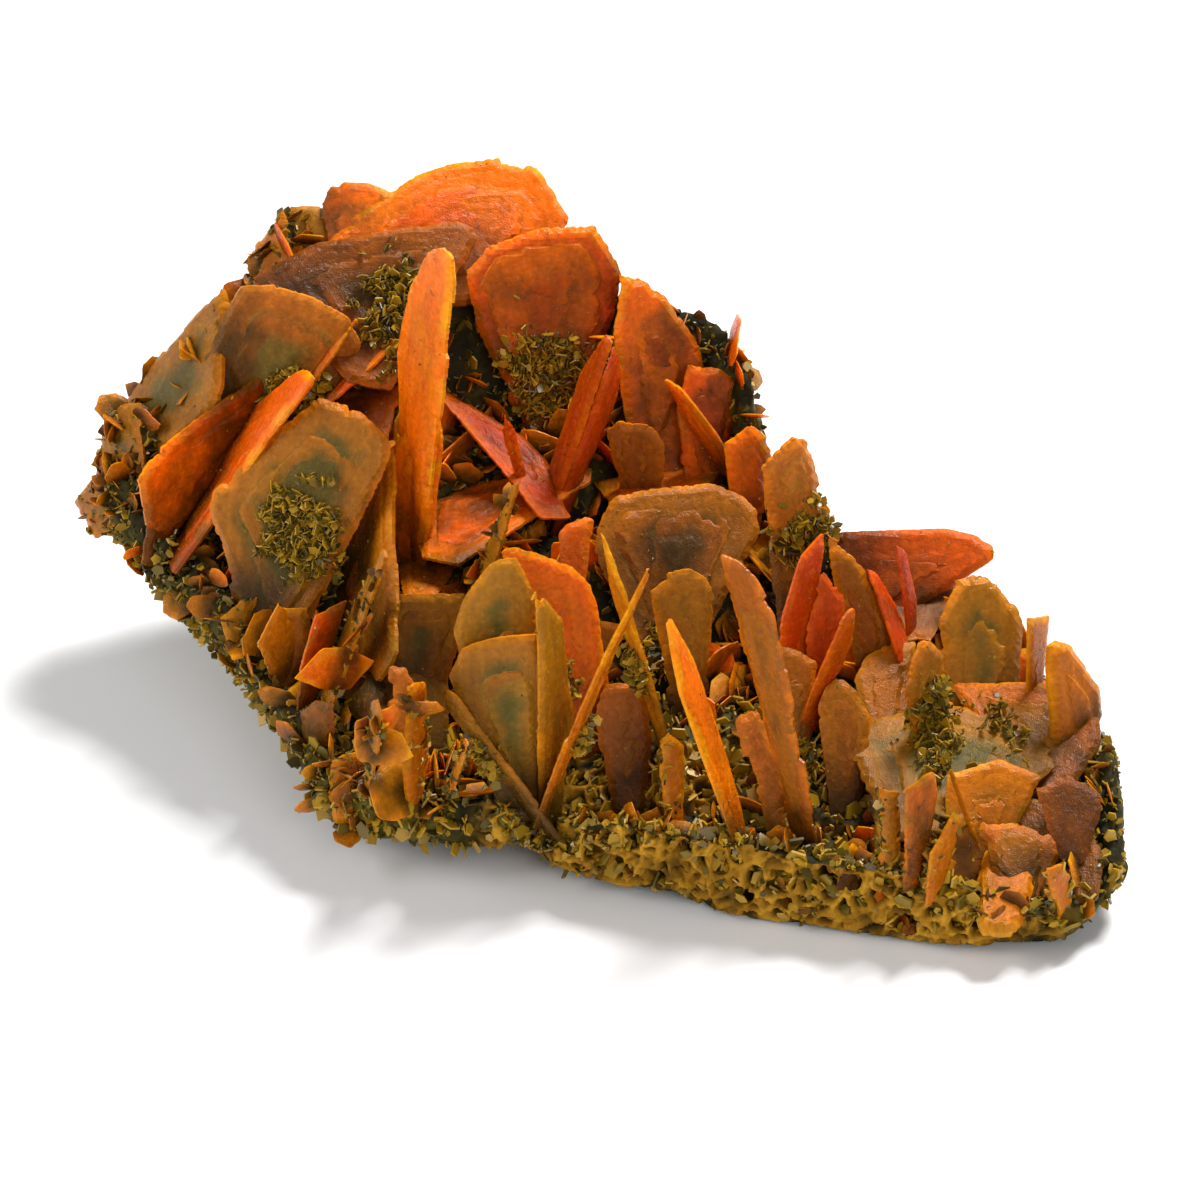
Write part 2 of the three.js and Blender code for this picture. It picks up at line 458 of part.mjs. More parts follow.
function insideCrust(point) {
  const plan = new THREE.Vector2(point.x, point.y).sub(CRUST_CENTRE);
  const within = plan.length() < crustReach(plan.angle());
  return within && point.z < upperSide(point.x, point.y) && point.z > underside(point.x, point.y);
}

function fieldPoint(across, down) {
  return AIM.clone()
    .addScaledVector(RIGHT, across - FIELD / 2)
    .addScaledVector(UP, FIELD / 2 - down);
}

// The first point of the crust that is met on the line of sight through a place in the view.
function crustPoint([across, down]) {
  const sight = fieldPoint(across, down).sub(EYE).normalize();
  for (let range = VIEW_DISTANCE - FIELD / 2; range < VIEW_DISTANCE + FIELD / 2; range += GAP) {
    const point = EYE.clone().addScaledVector(sight, range);
    if (insideCrust(point)) return point;
  }
  throw new Error(`no crust behind ${across}, ${down}`);
}

// How far the crust lies below the upper side heights at a place in plan.
function hollowAt(x, y) {
  const plan = new THREE.Vector2(x, y).sub(CRUST_CENTRE);
  return HOLLOW * THREE.MathUtils.smoothstep(1 - plan.length() / crustReach(plan.angle()), 0, RIM_SHARE);
}

// The crust as a sphere laid over the upper side, down the wall and under the underside.
function makeCrust() {
  const geometry = new THREE.IcosahedronGeometry(1, CRUST_DETAIL);
  const position = geometry.getAttribute("position");
  const place = new THREE.Vector3();
  for (let i = 0; i < position.count; i++) {
    place.fromBufferAttribute(position, i);
    const angle = Math.atan2(place.y, place.x);
    const down = Math.acos(THREE.MathUtils.clamp(place.z, -1, 1)) / Math.PI;
    const wall = THREE.MathUtils.clamp((down - TOP_SHARE) / (1 - 2 * TOP_SHARE), 0, 1);
    const spread = Math.min(1, Math.min(down, 1 - down) / TOP_SHARE);
    const bulge = WALL_BULGE * Math.sin(Math.PI * wall);
    const reach = spread * crustReach(angle) + bulge;
    const x = CRUST_CENTRE.x + reach * Math.cos(angle);
    const y = CRUST_CENTRE.y + reach * Math.sin(angle);
    const top = upperSide(x, y) - hollowAt(x, y);
    const bottom = heightAt(UNDERSIDE, x, y);
    const lump = LUMP_HEIGHT * noise.noise(x / LUMP_SIZE, y / LUMP_SIZE, wall);
    const grit = GRIT_HEIGHT * noise.noise(x / GRIT_SIZE, y / GRIT_SIZE, GRIT_LAYER + wall);
    const z = THREE.MathUtils.lerp(top, bottom, wall) + lump + grit;
    const push = wall > 0 && wall < 1 ? lump + grit : 0;
    position.setXYZ(i, x + push * Math.cos(angle), y + push * Math.sin(angle), Math.max(0, z));
  }
  return solidFrom(geometry);
}

// The cells broken open along the front wall, in staggered rows.
function makeCells() {
  const cells = [];
  for (let i = 0; i < CELL_COUNT; i++) {
    const degrees = THREE.MathUtils.lerp(CELLS_FROM, CELLS_TO, (i + 0.5) / CELL_COUNT);
    const angle = THREE.MathUtils.degToRad(degrees);
    const reach = crustReach(angle) + WALL_BULGE / 2;
    const x = CRUST_CENTRE.x + reach * Math.cos(angle);
    const y = CRUST_CENTRE.y + reach * Math.sin(angle);
    const z = THREE.MathUtils.lerp(underside(x, y), upperSide(x, y), CELL_ROWS[i % CELL_ROWS.length]);
    const radius = CELL_RADIUS * CELL_SIZES[i % CELL_SIZES.length];
    cells.push(solidFrom(new THREE.IcosahedronGeometry(radius).rotateX(i).translate(x, y, z)));
  }
  return cells;
}

// One tablet: a plate over its outline and the foot that holds it in the crust. Grown by a clearance, it is
// the pocket that the crust and the later crystals keep free for it.
function makeTablet([, thickness, root, lean, outline], grow = 0) {
  const foot = crustPoint(root);
  const normal = RIGHT.clone().multiplyScalar(lean[0]).addScaledVector(UP, lean[1]).sub(AWAY).normalize();
  const corners = outline.map(([across, down]) => {
    const sight = fieldPoint(across, down).sub(EYE);
    return EYE.clone().addScaledVector(sight, normal.dot(foot.clone().sub(EYE)) / normal.dot(sight));
  });
  const mean = (list) => list.reduce((sum, c) => sum.add(c), new THREE.Vector3()).divideScalar(list.length);
  const inward = foot.clone().sub(mean(corners)).normalize();
  const sideways = inward.clone().cross(normal);
  const spread = corners.map((corner) => corner.dot(sideways));
  const width = Math.min(FOOT_MAX, FOOT_SHARE * (Math.max(...spread) - Math.min(...spread)));
  const bury = BURY + hollowAt(foot.x, foot.y);
  for (const side of [-0.5, 0.5]) {
    corners.push(foot.clone().addScaledVector(inward, bury).addScaledVector(sideways, side * width));
  }
  const centre = mean(corners);
  const half = thickness / 2 + grow;
  const bevelled = thickness >= BEVEL_FROM && grow === 0;
  const points = [];
  for (const corner of corners) {
    const arm = corner.clone().sub(centre);
    const reach = arm.length() + grow;
    arm.normalize();
    if (bevelled) points.push(centre.clone().addScaledVector(arm, reach));
    const inner = centre.clone().addScaledVector(arm, bevelled ? reach - BEVEL : reach);
    points.push(inner.clone().addScaledVector(normal, half));
    points.push(inner.clone().addScaledVector(normal, -half));
  }
  return solidFrom(new ConvexGeometry(points));
}

const specimen = new THREE.Group();

function addPiece(name, solid, colour) {
  const material = new THREE.MeshStandardMaterial({ color: colour, roughness: 0.35, metalness: 0 });
  const mesh = new THREE.Mesh(geometryFrom(solid), material);
  mesh.name = name;
  specimen.add(mesh);
}

const pockets = [];
for (const [name, rows] of Object.entries(CLUSTERS)) {
  let cluster = rows.map((row) => makeTablet(row)).reduce((joined, tablet) => joined.add(tablet));
  for (const pocket of pockets) cluster = cluster.subtract(pocket);
  addPiece(name, largestBody(cluster), COLOUR[rows[0][0]]);
  for (const row of rows) pockets.push(makeTablet(row, GAP));
}

let crust = makeCrust();
for (const cell of makeCells()) crust = crust.subtract(cell);
for (const row of SMALL_CRYSTALS) crust = crust.add(makeTablet(row));
for (const pocket of pockets) crust = crust.subtract(pocket);
addPiece("crust", largestBody(crust), COLOUR.crust);

const box = new THREE.Box3().setFromObject(specimen);
const middle = box.getCenter(new THREE.Vector3());
specimen.position.set(-middle.x, -middle.y, -box.min.z);

export default specimen;
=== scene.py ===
import math

import bmesh
import bpy
import numpy as np
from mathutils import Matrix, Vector, noise
from mathutils.bvhtree import BVHTree
from mathutils.geometry import convex_hull_2d, delaunay_2d_cdt


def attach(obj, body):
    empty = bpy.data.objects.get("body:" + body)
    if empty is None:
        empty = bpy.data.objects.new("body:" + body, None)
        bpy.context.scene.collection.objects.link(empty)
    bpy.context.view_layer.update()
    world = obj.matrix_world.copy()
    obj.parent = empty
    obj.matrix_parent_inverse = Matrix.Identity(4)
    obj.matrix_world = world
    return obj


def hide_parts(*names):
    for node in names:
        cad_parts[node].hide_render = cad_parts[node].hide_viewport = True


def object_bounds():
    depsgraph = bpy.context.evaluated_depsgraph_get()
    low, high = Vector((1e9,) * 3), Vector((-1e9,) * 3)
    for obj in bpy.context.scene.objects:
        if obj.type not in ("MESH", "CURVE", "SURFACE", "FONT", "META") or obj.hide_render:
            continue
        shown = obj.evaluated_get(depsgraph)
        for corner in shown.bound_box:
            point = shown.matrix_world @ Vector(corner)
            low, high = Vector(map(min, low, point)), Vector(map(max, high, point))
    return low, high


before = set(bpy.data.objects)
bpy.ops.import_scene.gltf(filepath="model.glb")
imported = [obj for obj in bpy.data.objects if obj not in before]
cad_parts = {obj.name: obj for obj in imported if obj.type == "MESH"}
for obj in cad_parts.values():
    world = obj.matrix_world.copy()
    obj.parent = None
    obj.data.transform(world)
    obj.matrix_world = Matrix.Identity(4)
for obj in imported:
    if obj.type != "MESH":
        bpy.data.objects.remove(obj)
cad_box = [list(corner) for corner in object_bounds()]


# The large crystals: flat tablets of wulfenite, each grown fast to the crust by one edge. Their rims are
# lobed and chipped, thinner than the middle, and their faces are stepped by growth. Lengths are in mm.
MM = 0.001
BOX_LOW, BOX_HIGH = np.array(cad_box) / MM
PARALLEL = 0.9995  # the least cosine between two normals that count as parallel
SAME_PLANE = 0.05  # the most that two triangles of one face are apart
LEAST_FACE = 2.5  # mm2, the least face of a tablet
THICKNESSES = (0.45, 2.5)  # the thinnest and the thickest tablet
THICK = 1.7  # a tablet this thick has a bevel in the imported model, outside its two faces
CAD_BEVEL = 0.6  # how far that bevel reaches out
RIM_STEP = 0.34  # between points along a rim
FACE_STEP = 0.56  # between points across a face
FREE_RIM = 0.55  # the least distance from a face's point to the rim, as a share of FACE_STEP
ROW_SHARE = 0.87  # from one row of points to the next, as a share of FACE_STEP
JITTER = 0.12  # how far a point of a face strays, as a share of FACE_STEP
RIM_SHARE = 0.35  # thickness at the rim, as a share of the whole
BEVEL = 0.9  # from the rim to the full thickness
SOFT_RIM = 22  # a longer rim has its corners softened
LOBE, LOBES = 2.4, (0.6, 2.2)  # the length of a lobe of the rim, and its range, as a multiple
NOTCH, NOTCHES = 0.42, (0.3, 1.1)  # the depth of the notch between two lobes, and its range
LOBE_LEAST, LOBE_SPREAD = 0.3, 1.1  # the shortest lobe, and the mean that is added to it, in lobes
BREAK = 1.3  # how much of the rim is broken back, before it is squared
TEETH = 0.4  # the depth of the fine teeth, in notches
MOST_CUT = 0.35  # the most that a rim is cut back, as a share of the tablet's width
STEP_WIDTH = (0.9, 1.8)  # from one growth step to the next
STEP_DEPTH = 0.02  # of the thickness
SWAY = 0.12  # how far a face bows, as a share of the thickness
LAYER_BASE = 0.84  # thickness of a tablet without the growth layers on it, as a share
LAYER_FROM = 45  # mm2; a tablet this large carries growth layers
LAYER_COUNT = 2  # growth layers on such a tablet, each of which shows on both faces
LAYER_SIZE = (0.45, 0.92)  # the size of a growth layer, as a share of its tablet
LAYER_COARSE = 1.3  # its point spacing, as a multiple of the tablet's
LAYER_RIM = 1.0  # how far its rim counts as being from the tablet's own


# The start of a piece's own random draws, from its name.
def name_seed(name):
    return sum((i + 1) * ord(letter) for i, letter in enumerate(name))


# The points of a CAD node, in mm, and the corners of its triangles.
def triangles_of(cad):
    mesh = cad.data
    mesh.calc_loop_triangles()
    points = np.empty(len(mesh.vertices) * 3)
    mesh.vertices.foreach_get("co", points)
    corners = np.empty(len(mesh.loop_triangles) * 3, dtype=np.int32)
    mesh.loop_triangles.foreach_get("vertices", corners)
    return points.reshape(-1, 3) / MM, corners.reshape(-1, 3)


# The tablets of a CAD node: pairs of parallel faces that look away from each other, a small distance apart.
def tablets_of(cad):
    points, corners = triangles_of(cad)
    a, b, c = (points[corners[:, i]] for i in range(3))
    cross = np.cross(b - a, c - a)
    area = np.linalg.norm(cross, axis=1) / 2
    normal = cross / np.maximum(area[:, None] * 2, 1e-9)
    level = (normal * a).sum(axis=1)
    free = area > 1e-3
    planes = []
    for i in np.argsort(-area):
        if not free[i]:
            continue
        same = free & (normal @ normal[i] > PARALLEL) & (np.abs(a @ normal[i] - level[i]) < SAME_PLANE)
        free[same] = False
        if area[same].sum() >= LEAST_FACE:
            planes.append((normal[i], level[i], np.unique(corners[same]), area[same].sum()))
    tablets = []
    used = set()
    for i, (n, d, members, size) in enumerate(planes):
        for j in range(i + 1, len(planes)):
            m, e, others, other_size = planes[j]
            if i in used or j in used or n @ m > -PARALLEL or not THICKNESSES[0] < d + e < THICKNESSES[1]:
                continue
            used |= {i, j}
            tablets.append((n, (d - e) / 2, d + e, points[np.union1d(members, others)]))
    return tablets


# Two directions in the plane that the normal n is square to.
def plane_axes(n):
    side = np.cross(n, (0.0, 0.0, 1.0) if abs(n[2]) < 0.9 else (1.0, 0.0, 0.0))
    side /= np.linalg.norm(side)
    return side, np.cross(n, side)


# How far each place along a rim is cut back: rounded lobes with notches between them, and fine teeth.
def notches(along, length, rng, lobe, depth):
    ends = [0.0]
    while ends[-1] < length - lobe * LOBE_LEAST:
        ends.append(ends[-1] + lobe * (LOBE_LEAST + rng.exponential(LOBE_SPREAD)))
    ends[-1] = length
    index = np.clip(np.searchsorted(ends, along, side="right") - 1, 0, len(ends) - 2)
    ends = np.array(ends)
    share = (along - ends[index]) / (ends[index + 1] - ends[index])
    deep = rng.uniform(0.0, 1.0, len(ends))[index] ** 2
    back = rng.uniform(0, BREAK, len(ends))[index] ** 2
    arch = 1 - np.sqrt(np.clip(4 * share * (1 - share), 0, 1))
    teeth = rng.uniform(0, TEETH, len(along)) * rng.integers(0, 2, len(along))
    return depth * (deep * arch + back + teeth)


# The flat form of a tablet in its own plane: its points, its triangles, and each point's distance to the rim.
def tablet_form(outline, rng, lobe, depth, rim_step, face_step):
    outline = np.array(outline)
    following = np.roll(outline, -1, axis=0)
    lengths = np.linalg.norm(following - outline, axis=1)
    total = lengths.sum()
    starts = np.concatenate([[0.0], np.cumsum(lengths)[:-1]])
    along = np.linspace(0, total, max(10, int(total / rim_step)), endpoint=False)
    edge = np.searchsorted(starts, along, side="right") - 1
    share = (along - starts[edge]) / lengths[edge]
    rim = outline[edge] + (following - outline)[edge] * share[:, None]
    if total > SOFT_RIM:
        rim = (np.roll(rim, 1, axis=0) + 2 * rim + np.roll(rim, -1, axis=0)) / 4
    tangent = np.roll(rim, -1, axis=0) - np.roll(rim, 1, axis=0)
    inward = np.stack([-tangent[:, 1], tangent[:, 0]], axis=1)
    inward /= np.maximum(np.linalg.norm(inward, axis=1)[:, None], 1e-6)
    width = 2 * (np.cross(outline, following).sum() / 2) / total
    rim = rim + inward * np.minimum(notches(along, total, rng, lobe, depth), MOST_CUT * width)[:, None]
    low, high = rim.min(axis=0), rim.max(axis=0)
    columns = np.arange(low[0], high[0], face_step)
    rows = np.arange(low[1], high[1], face_step * ROW_SHARE)
    grid = np.stack(np.meshgrid(columns, rows), axis=-1)
    grid[1::2, :, 0] += face_step / 2
    grid = grid.reshape(-1, 2)
    grid += rng.uniform(-JITTER, JITTER, grid.shape) * face_step
    gap = np.linalg.norm(grid[:, None] - rim[None], axis=2).min(axis=1)
    grid = grid[gap > FREE_RIM * face_step]
    points = np.vstack([rim, grid])
    edges = [(i, (i + 1) % len(rim)) for i in range(len(rim))]
    found, _, faces, _, _, _ = delaunay_2d_cdt([Vector(p) for p in points], edges, [], 1, 1e-5)
    found = np.array(found)
    distance = np.linalg.norm(found[:, None] - rim[None], axis=2).min(axis=1)
    return found, faces, distance


# Adds a tablet to a mesh being collected: two sheets over its form, joined round the rim. A larger coarse
# gives fewer points; inner is added to the distance to the rim; least is the least that its foot attribute is.
def add_tablet(build, origin, n, thickness, outline, rng, lobe, depth, coarse=1.0, inner=0.0, least=0.0):
    side, up = plane_axes(n)
    form, faces, distance = tablet_form(outline, rng, lobe, depth, RIM_STEP * coarse, FACE_STEP * coarse)
    rise = np.clip(distance / min(BEVEL, 0.6 * max(distance.max(), 0.1)), 0, 1)
    half = thickness / 2 * (RIM_SHARE + (1 - RIM_SHARE) * rise * (2 - rise))
    steps = np.floor(distance / rng.uniform(*STEP_WIDTH) + 0.35 * np.sin(form[:, 0] * 0.9 + rng.uniform(0, 6)))
    half = half - STEP_DEPTH * thickness * (steps % 3)
    sway = np.sin(form[:, 0] * 0.35 + rng.uniform(0, 6)) * np.sin(form[:, 1] * 0.3 + rng.uniform(0, 6))
    sway *= SWAY * thickness
    flat = origin + form[:, :1] * side + form[:, 1:] * up
    base = len(build["points"])
    seed = float(rng.integers(1000))
    for sign in (1, -1):
        build["points"].extend(flat + n * (sway + sign * half)[:, None])
        build["rim"].extend(distance + inner)
        build["grain"].extend(np.column_stack([form, np.full(len(form), seed)]))
    count = len(form)
    tone = rng.uniform(0, 1)
    build["tone"].extend([tone] * (2 * count))
    build["least"].extend([least] * (2 * count))
    uses = {}
    for face in faces:
        build["faces"].append([base + i for i in face])
        build["faces"].append([base + count + i for i in reversed(face)])
        for i in range(3):
            uses[(face[i], face[(i + 1) % 3])] = True
    for i, j in uses:
        if (j, i) not in uses:
            build["faces"].append([base + j, base + i, base + count + i, base + count + j])


# A mesh to be collected, with its attributes.
def new_build():
    return {"points": [], "faces": [], "rim": [], "tone": [], "grain": [], "least": []}


crust_points, crust_corners = triangles_of(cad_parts["crust"])
crust_tree = BVHTree.FromPolygons(crust_points.tolist(), crust_corners.tolist())


# Makes a piece with four attributes: rim, the distance to the rim; tone, one number for each tablet; foot, the
# distance to the crust; and grain, a place within the tablet.
def finish_build(build, name, foot_scale=1.0):
    mesh = bpy.data.meshes.new(name)
    build["points"] = np.clip(build["points"], BOX_LOW, BOX_HIGH)
    mesh.from_pydata((build["points"] * MM).tolist(), [], build["faces"])
    above = [foot_scale * crust_tree.find_nearest(p)[3] for p in build["points"].tolist()]
    build["foot"] = np.maximum(above, build["least"])
    kinds = (("rim", "FLOAT"), ("tone", "FLOAT"), ("foot", "FLOAT"), ("grain", "FLOAT_VECTOR"))
    for key, kind in kinds:
        layer = mesh.attributes.new(key, kind, "POINT")
        field = "vector" if kind == "FLOAT_VECTOR" else "value"
        layer.data.foreach_set(field, np.array(build[key], dtype=np.float32).ravel())
    piece = bpy.data.objects.new(name, mesh)
    bpy.context.scene.collection.objects.link(piece)
    return piece


# The outline of a tablet's points in its own plane, grown outward, counterclockwise.
def outline_of(points, origin, n, grow):
    side, up = plane_axes(n)
    flat = [Vector(((p - origin) @ side, (p - origin) @ up)) for p in points]
    hull = [flat[i] for i in convex_hull_2d(flat)]
    middle = sum(hull, Vector((0, 0))) / len(hull)
    hull = np.array([h + (h - middle).normalized() * grow for h in hull])
    turn = np.cross(hull, np.roll(hull, -1, axis=0)).sum()
    return hull if turn > 0 else hull[::-1]


# An sRGB hex colour as linear light.
def linear(code):
    channels = [int(code[i : i + 2], 16) / 255 for i in (1, 3, 5)]
    return [c / 12.92 if c <= 0.04045 else ((c + 0.055) / 1.055) ** 2.4 for c in channels] + [1.0]


# Adds a node to a material, with its settings, and its values or links.
def add(tree, kind, values=None, **settings):
    made = tree.nodes.new(kind)
    for key, value in settings.items():
        setattr(made, key, value)
    for key, value in (values or {}).items():
        if isinstance(value, bpy.types.NodeSocket):
            tree.links.new(value, made.inputs[key])
        else:
            made.inputs[key].default_value = value
    return made


def new_material(name):
    material = bpy.data.materials.new(name)
    material.use_nodes = True
    tree = material.node_tree
    tree.nodes.clear()
    return material, tree


def finish_material(tree, values):
    shader = add(tree, "ShaderNodeBsdfPrincipled", values)
    add(tree, "ShaderNodeOutputMaterial", {"Surface": shader.outputs[0]})


# Wulfenite, as it grew: a yellow-orange rim, a deep orange-red body and, in many, a brown-olive middle. Light
# goes a little way in, and the faces are satin, finely stepped along the rim. Its colours: rim, the outermost
# band; body, inside it; heart, the middle, which begins heart_from mm from the rim; foot, painted shade on the
# lowest part, up to foot_to mm above the crust. Its grain is in mm, so a scale is one over a size in mm.
CLOUD = 0.3  # a cloud of colour is about 3 mm across
MOTTLE = 1.8  # a spot is about 0.6 mm across
GRIT = 7.0  # grit is about 0.15 mm, a little coarser than the real dust, so that it shows
STREAK = 0.9  # a streak is about 1 mm wide and 4 mm long
BAND_TURNS = 5.0  # the phase of the fine bands along the rim, per mm


def wulfenite(name, rim, body, heart, foot, heart_from, foot_to, glow):
    material, tree = new_material(name)
    distance = add(tree, "ShaderNodeAttribute", attribute_name="rim")
    height = add(tree, "ShaderNodeAttribute", attribute_name="foot")
    grain = add(tree, "ShaderNodeAttribute", attribute_name="grain")
    tone = add(tree, "ShaderNodeAttribute", attribute_name="tone")
    place = grain.outputs["Vector"]
    cloud = add(tree, "ShaderNodeTexNoise", {"Vector": place, "Scale": CLOUD, "Detail": 4.0})
    fine = add(tree, "ShaderNodeTexNoise", {"Vector": place, "Scale": MOTTLE, "Detail": 6.0})
    wander = add(tree, "ShaderNodeMath", {0: cloud.outputs["Fac"], 1: 4.0, 2: -2.0}, operation="MULTIPLY_ADD")
    depth = add(tree, "ShaderNodeMath", {0: distance.outputs["Fac"], 1: wander.outputs[0]}, operation="ADD")
    # Painted shade: the nearer a place is to the crust, the nearer its colour comes to the dark foot colour.
    above = add(
        tree,
        "ShaderNodeMath",
        {0: wander.outputs[0], 1: 2.2, 2: height.outputs["Fac"]},
        operation="MULTIPLY_ADD",
    )
    zones = (
        (depth, -1.5, 1.0, rim, body),
        (depth, heart_from, heart_from + 2.4, None, heart),
        (above, foot_to, -0.5, None, foot),
    )
    colour = None
    for source, low, high, first, second in zones:
        share = add(
            tree,
            "ShaderNodeMapRange",
            {"Value": source.outputs[0], "From Min": low, "From Max": high, "To Max": 0.92},
            interpolation_type="SMOOTHSTEP",
        )
        under = linear(first) if first else colour.outputs[2]
        colour = add(
            tree, "ShaderNodeMix", {"Factor": share.outputs[0], 6: under, 7: linear(second)}, data_type="RGBA"
        )
    drawn = add(tree, "ShaderNodeMapping", {"Vector": place, "Scale": (1.3, 0.25, 1.0)})
    along = drawn.outputs["Vector"]
    streak = add(tree, "ShaderNodeTexNoise", {"Vector": along, "Scale": STREAK, "Detail": 5.0})
    value = add(
        tree,
        "ShaderNodeMapRange",
        {"Value": streak.outputs["Fac"], "From Min": 0.3, "From Max": 0.7, "To Min": 0.86, "To Max": 1.12},
    )
    mottle = add(tree, "ShaderNodeMapRange", {"Value": fine.outputs["Fac"], "To Min": 0.55, "To Max": 1.45})
    level = add(tree, "ShaderNodeMath", {0: value.outputs[0], 1: mottle.outputs[0]}, operation="MULTIPLY")
    hue = add(tree, "ShaderNodeMapRange", {"Value": tone.outputs["Fac"], "To Min": 0.495, "To Max": 0.508})
    final = add(
        tree,
        "ShaderNodeHueSaturation",
        {"Color": colour.outputs[2], "Value": level.outputs[0], "Hue": hue.outputs[0]},
    )
    bands = add(tree, "ShaderNodeMath", {0: distance.outputs["Fac"], 1: BAND_TURNS}, operation="MULTIPLY")
    swing = add(
        tree, "ShaderNodeMath", {0: fine.outputs["Fac"], 1: 9.0, 2: bands.outputs[0]}, operation="MULTIPLY_ADD"
    )
    wave = add(tree, "ShaderNodeMath", {0: swing.outputs[0]}, operation="SINE")
    grit = add(tree, "ShaderNodeTexNoise", {"Vector": place, "Scale": GRIT, "Detail": 4.0})
    drawing = add(
        tree,
        "ShaderNodeMath",
        {0: streak.outputs["Fac"], 1: 2.0, 2: wave.outputs[0]},
        operation="MULTIPLY_ADD",
    )
    relief = add(
        tree,
        "ShaderNodeMath",
        {0: grit.outputs["Fac"], 1: 4.0, 2: drawing.outputs[0]},
        operation="MULTIPLY_ADD",
    )
    bump = add(tree, "ShaderNodeBump", {"Height": relief.outputs[0], "Strength": 0.35, "Distance": 0.00009})
    gloss = add(tree, "ShaderNodeMapRange", {"Value": fine.outputs["Fac"], "To Min": 0.07, "To Max": 0.4})
    finish_material(
        tree,
        {
            "Base Color": final.outputs[0],
            "Roughness": gloss.outputs[0],
            "Normal": bump.outputs[0],
            "IOR": 1.6,
            "Specular IOR Level": 0.13,
            "Subsurface Weight": glow,
            "Subsurface Radius": (1.0, 0.35, 0.05),
            "Subsurface Scale": 0.0012,
        },
    )
    return material


orange = wulfenite("wulfenite_orange", "#ffaa08", "#f25c02", "#d44a02", "#4c2a04", 4.0, 7.5, 0.25)
red = wulfenite("wulfenite_red", "#f0740a", "#c84202", "#942e02", "#3c2004", 2.5, 7.5, 0.1)
amber = wulfenite("wulfenite_amber", "#f8a80c", "#c06206", "#744806", "#302206", 2.0, 7.5, 0.1)
olive = wulfenite("wulfenite_olive", "#f28a0e", "#a06410", "#5c5218", "#2a240a", 1.6, 7.5, 0.08)
brown = wulfenite("wulfenite_brown", "#ea800c", "#944e08", "#4e340a", "#221a08", 2.0, 7.5, 0.1)
pink = wulfenite("wulfenite_pink", "#f68c18", "#c06a1e", "#86722e", "#3a3212", 2.0, 7.5, 0.1)
WULFENITES = {"orange": orange, "red": red, "amber": amber, "olive": olive, "brown": brown, "pink": pink}

# The colour of each large crystal that isn't orange.
KINDS = {
    "red": "twin_spears third_spear red_crystal red_jags thin_reds long_red_blade level_right_blade"
    " cavity_blades",
    "amber": "pair_front pair_back under_plate diagonal_blade leaning_blade long_edge_blade low_blade"
    " olive_rim_plate level_right_leaf side_plates end_crystals",
    "olive": "mossy_plate oval_plate round_plate curved_plate small_olive_plate bent_plate rimmed_plate"
    " fan_plate",
    "brown": "brown_plate low_brown_plate brown_right_plate brown_olive_plate cavity_plate"
    " long_dark_blade octagon_plate olive_grey_plate dark_red_plate",
    "pink": "salmon_plates grey_plate cleavage_plate streaked_plate rippled_plate",
}
kind_of = {name: kind for kind, names in KINDS.items() for name in names.split()}

crystals = {}
for name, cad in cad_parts.items():
    if name == "crust":
        continue
    rng = np.random.default_rng(name_seed(name))
    build = new_build()
    for n, level, thickness, members in tablets_of(cad):
        origin = members.mean(axis=0)
        origin = origin + n * (level - origin @ n)
        outline = outline_of(members, origin, n, CAD_BEVEL if thickness > THICK else 0)
        lobe, depth = LOBE * rng.uniform(*LOBES), NOTCH * rng.uniform(*NOTCHES)
        add_tablet(build, origin, n, thickness * LAYER_BASE, outline, rng, lobe, depth)
        wide = 0.5 * np.cross(outline, np.roll(outline, -1, axis=0)).sum() > LAYER_FROM
        for share in rng.uniform(*LAYER_SIZE, LAYER_COUNT if wide else 0):
            heart = outline.mean(axis=0) * (1 - share) * rng.uniform(0.2, 1.8, 2)
            layer = outline * share * rng.uniform(0.9, 1.0, (len(outline), 1)) + heart
            deep = thickness * rng.uniform(0.9, 1.0)
            add_tablet(build, origin, n, deep, layer, rng, lobe, depth, LAYER_COARSE, LAYER_RIM)
    crystals[name] = finish_build(build, name + "_crystal")
    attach(crystals[name], "root")
    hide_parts(name)
    crystals[name].data.materials.append(WULFENITES[kind_of.get(name, "orange")])


# The crust: one piece of porous rock that carries every crystal, broken along the front right into a honeycomb
# of small cells. Its surface is lumpy and pitted, golden-brown on the broken wall and olive-black elsewhere.
CRUST_VOXEL = 0.56  # the size of its faces; those of the wall are halved
CRUST_CENTRE = np.array([1.4, -2.4])  # the middle of its outline in plan
WALL_FROM, WALL_TO = -118, -36  # degrees round the middle, the broken wall
WALL_FADE = 4  # degrees over which it begins and ends
CELL, CELL_DEPTH = 2.1, 1.9  # across a cell, and how deep it is
CELL_EDGE = (0.08, 0.42)  # of a cell, from its wall to its full depth
PORE, PORE_DEPTH = 0.85, 0.4
PORE_EDGE = (0.05, 0.5)
LUMP, LUMP_HEIGHT = 3.4, 0.35
FLAT_FOOT = 0.8  # below this height the lumps and pits fade out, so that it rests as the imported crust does
SUNK = 0.95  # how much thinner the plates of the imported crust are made; fine tablets hide them
SUNK_RIM = 0.1  # and how much smaller
PLATE_MARGIN = 0.3  # how far outside a plate's rim its points still count as its own
PLATE_DEEP = 0.4  # the same outside its faces


# From 0 at low to 1 at high, easing in and out.
def smooth(low, high, value):
    share = np.clip((value - low) / (high - low), 0, 1)
    return share * share * (3 - 2 * share)


# A mesh's points and their normals.
def mesh_arrays(mesh):
    count = len(mesh.vertices)
    points = np.empty(count * 3)
    normals = np.empty(count * 3)
    mesh.vertices.foreach_get("co", points)
    mesh.vertex_normals.foreach_get("vector", normals)
    return points.reshape(-1, 3) / MM, normals.reshape(-1, 3)


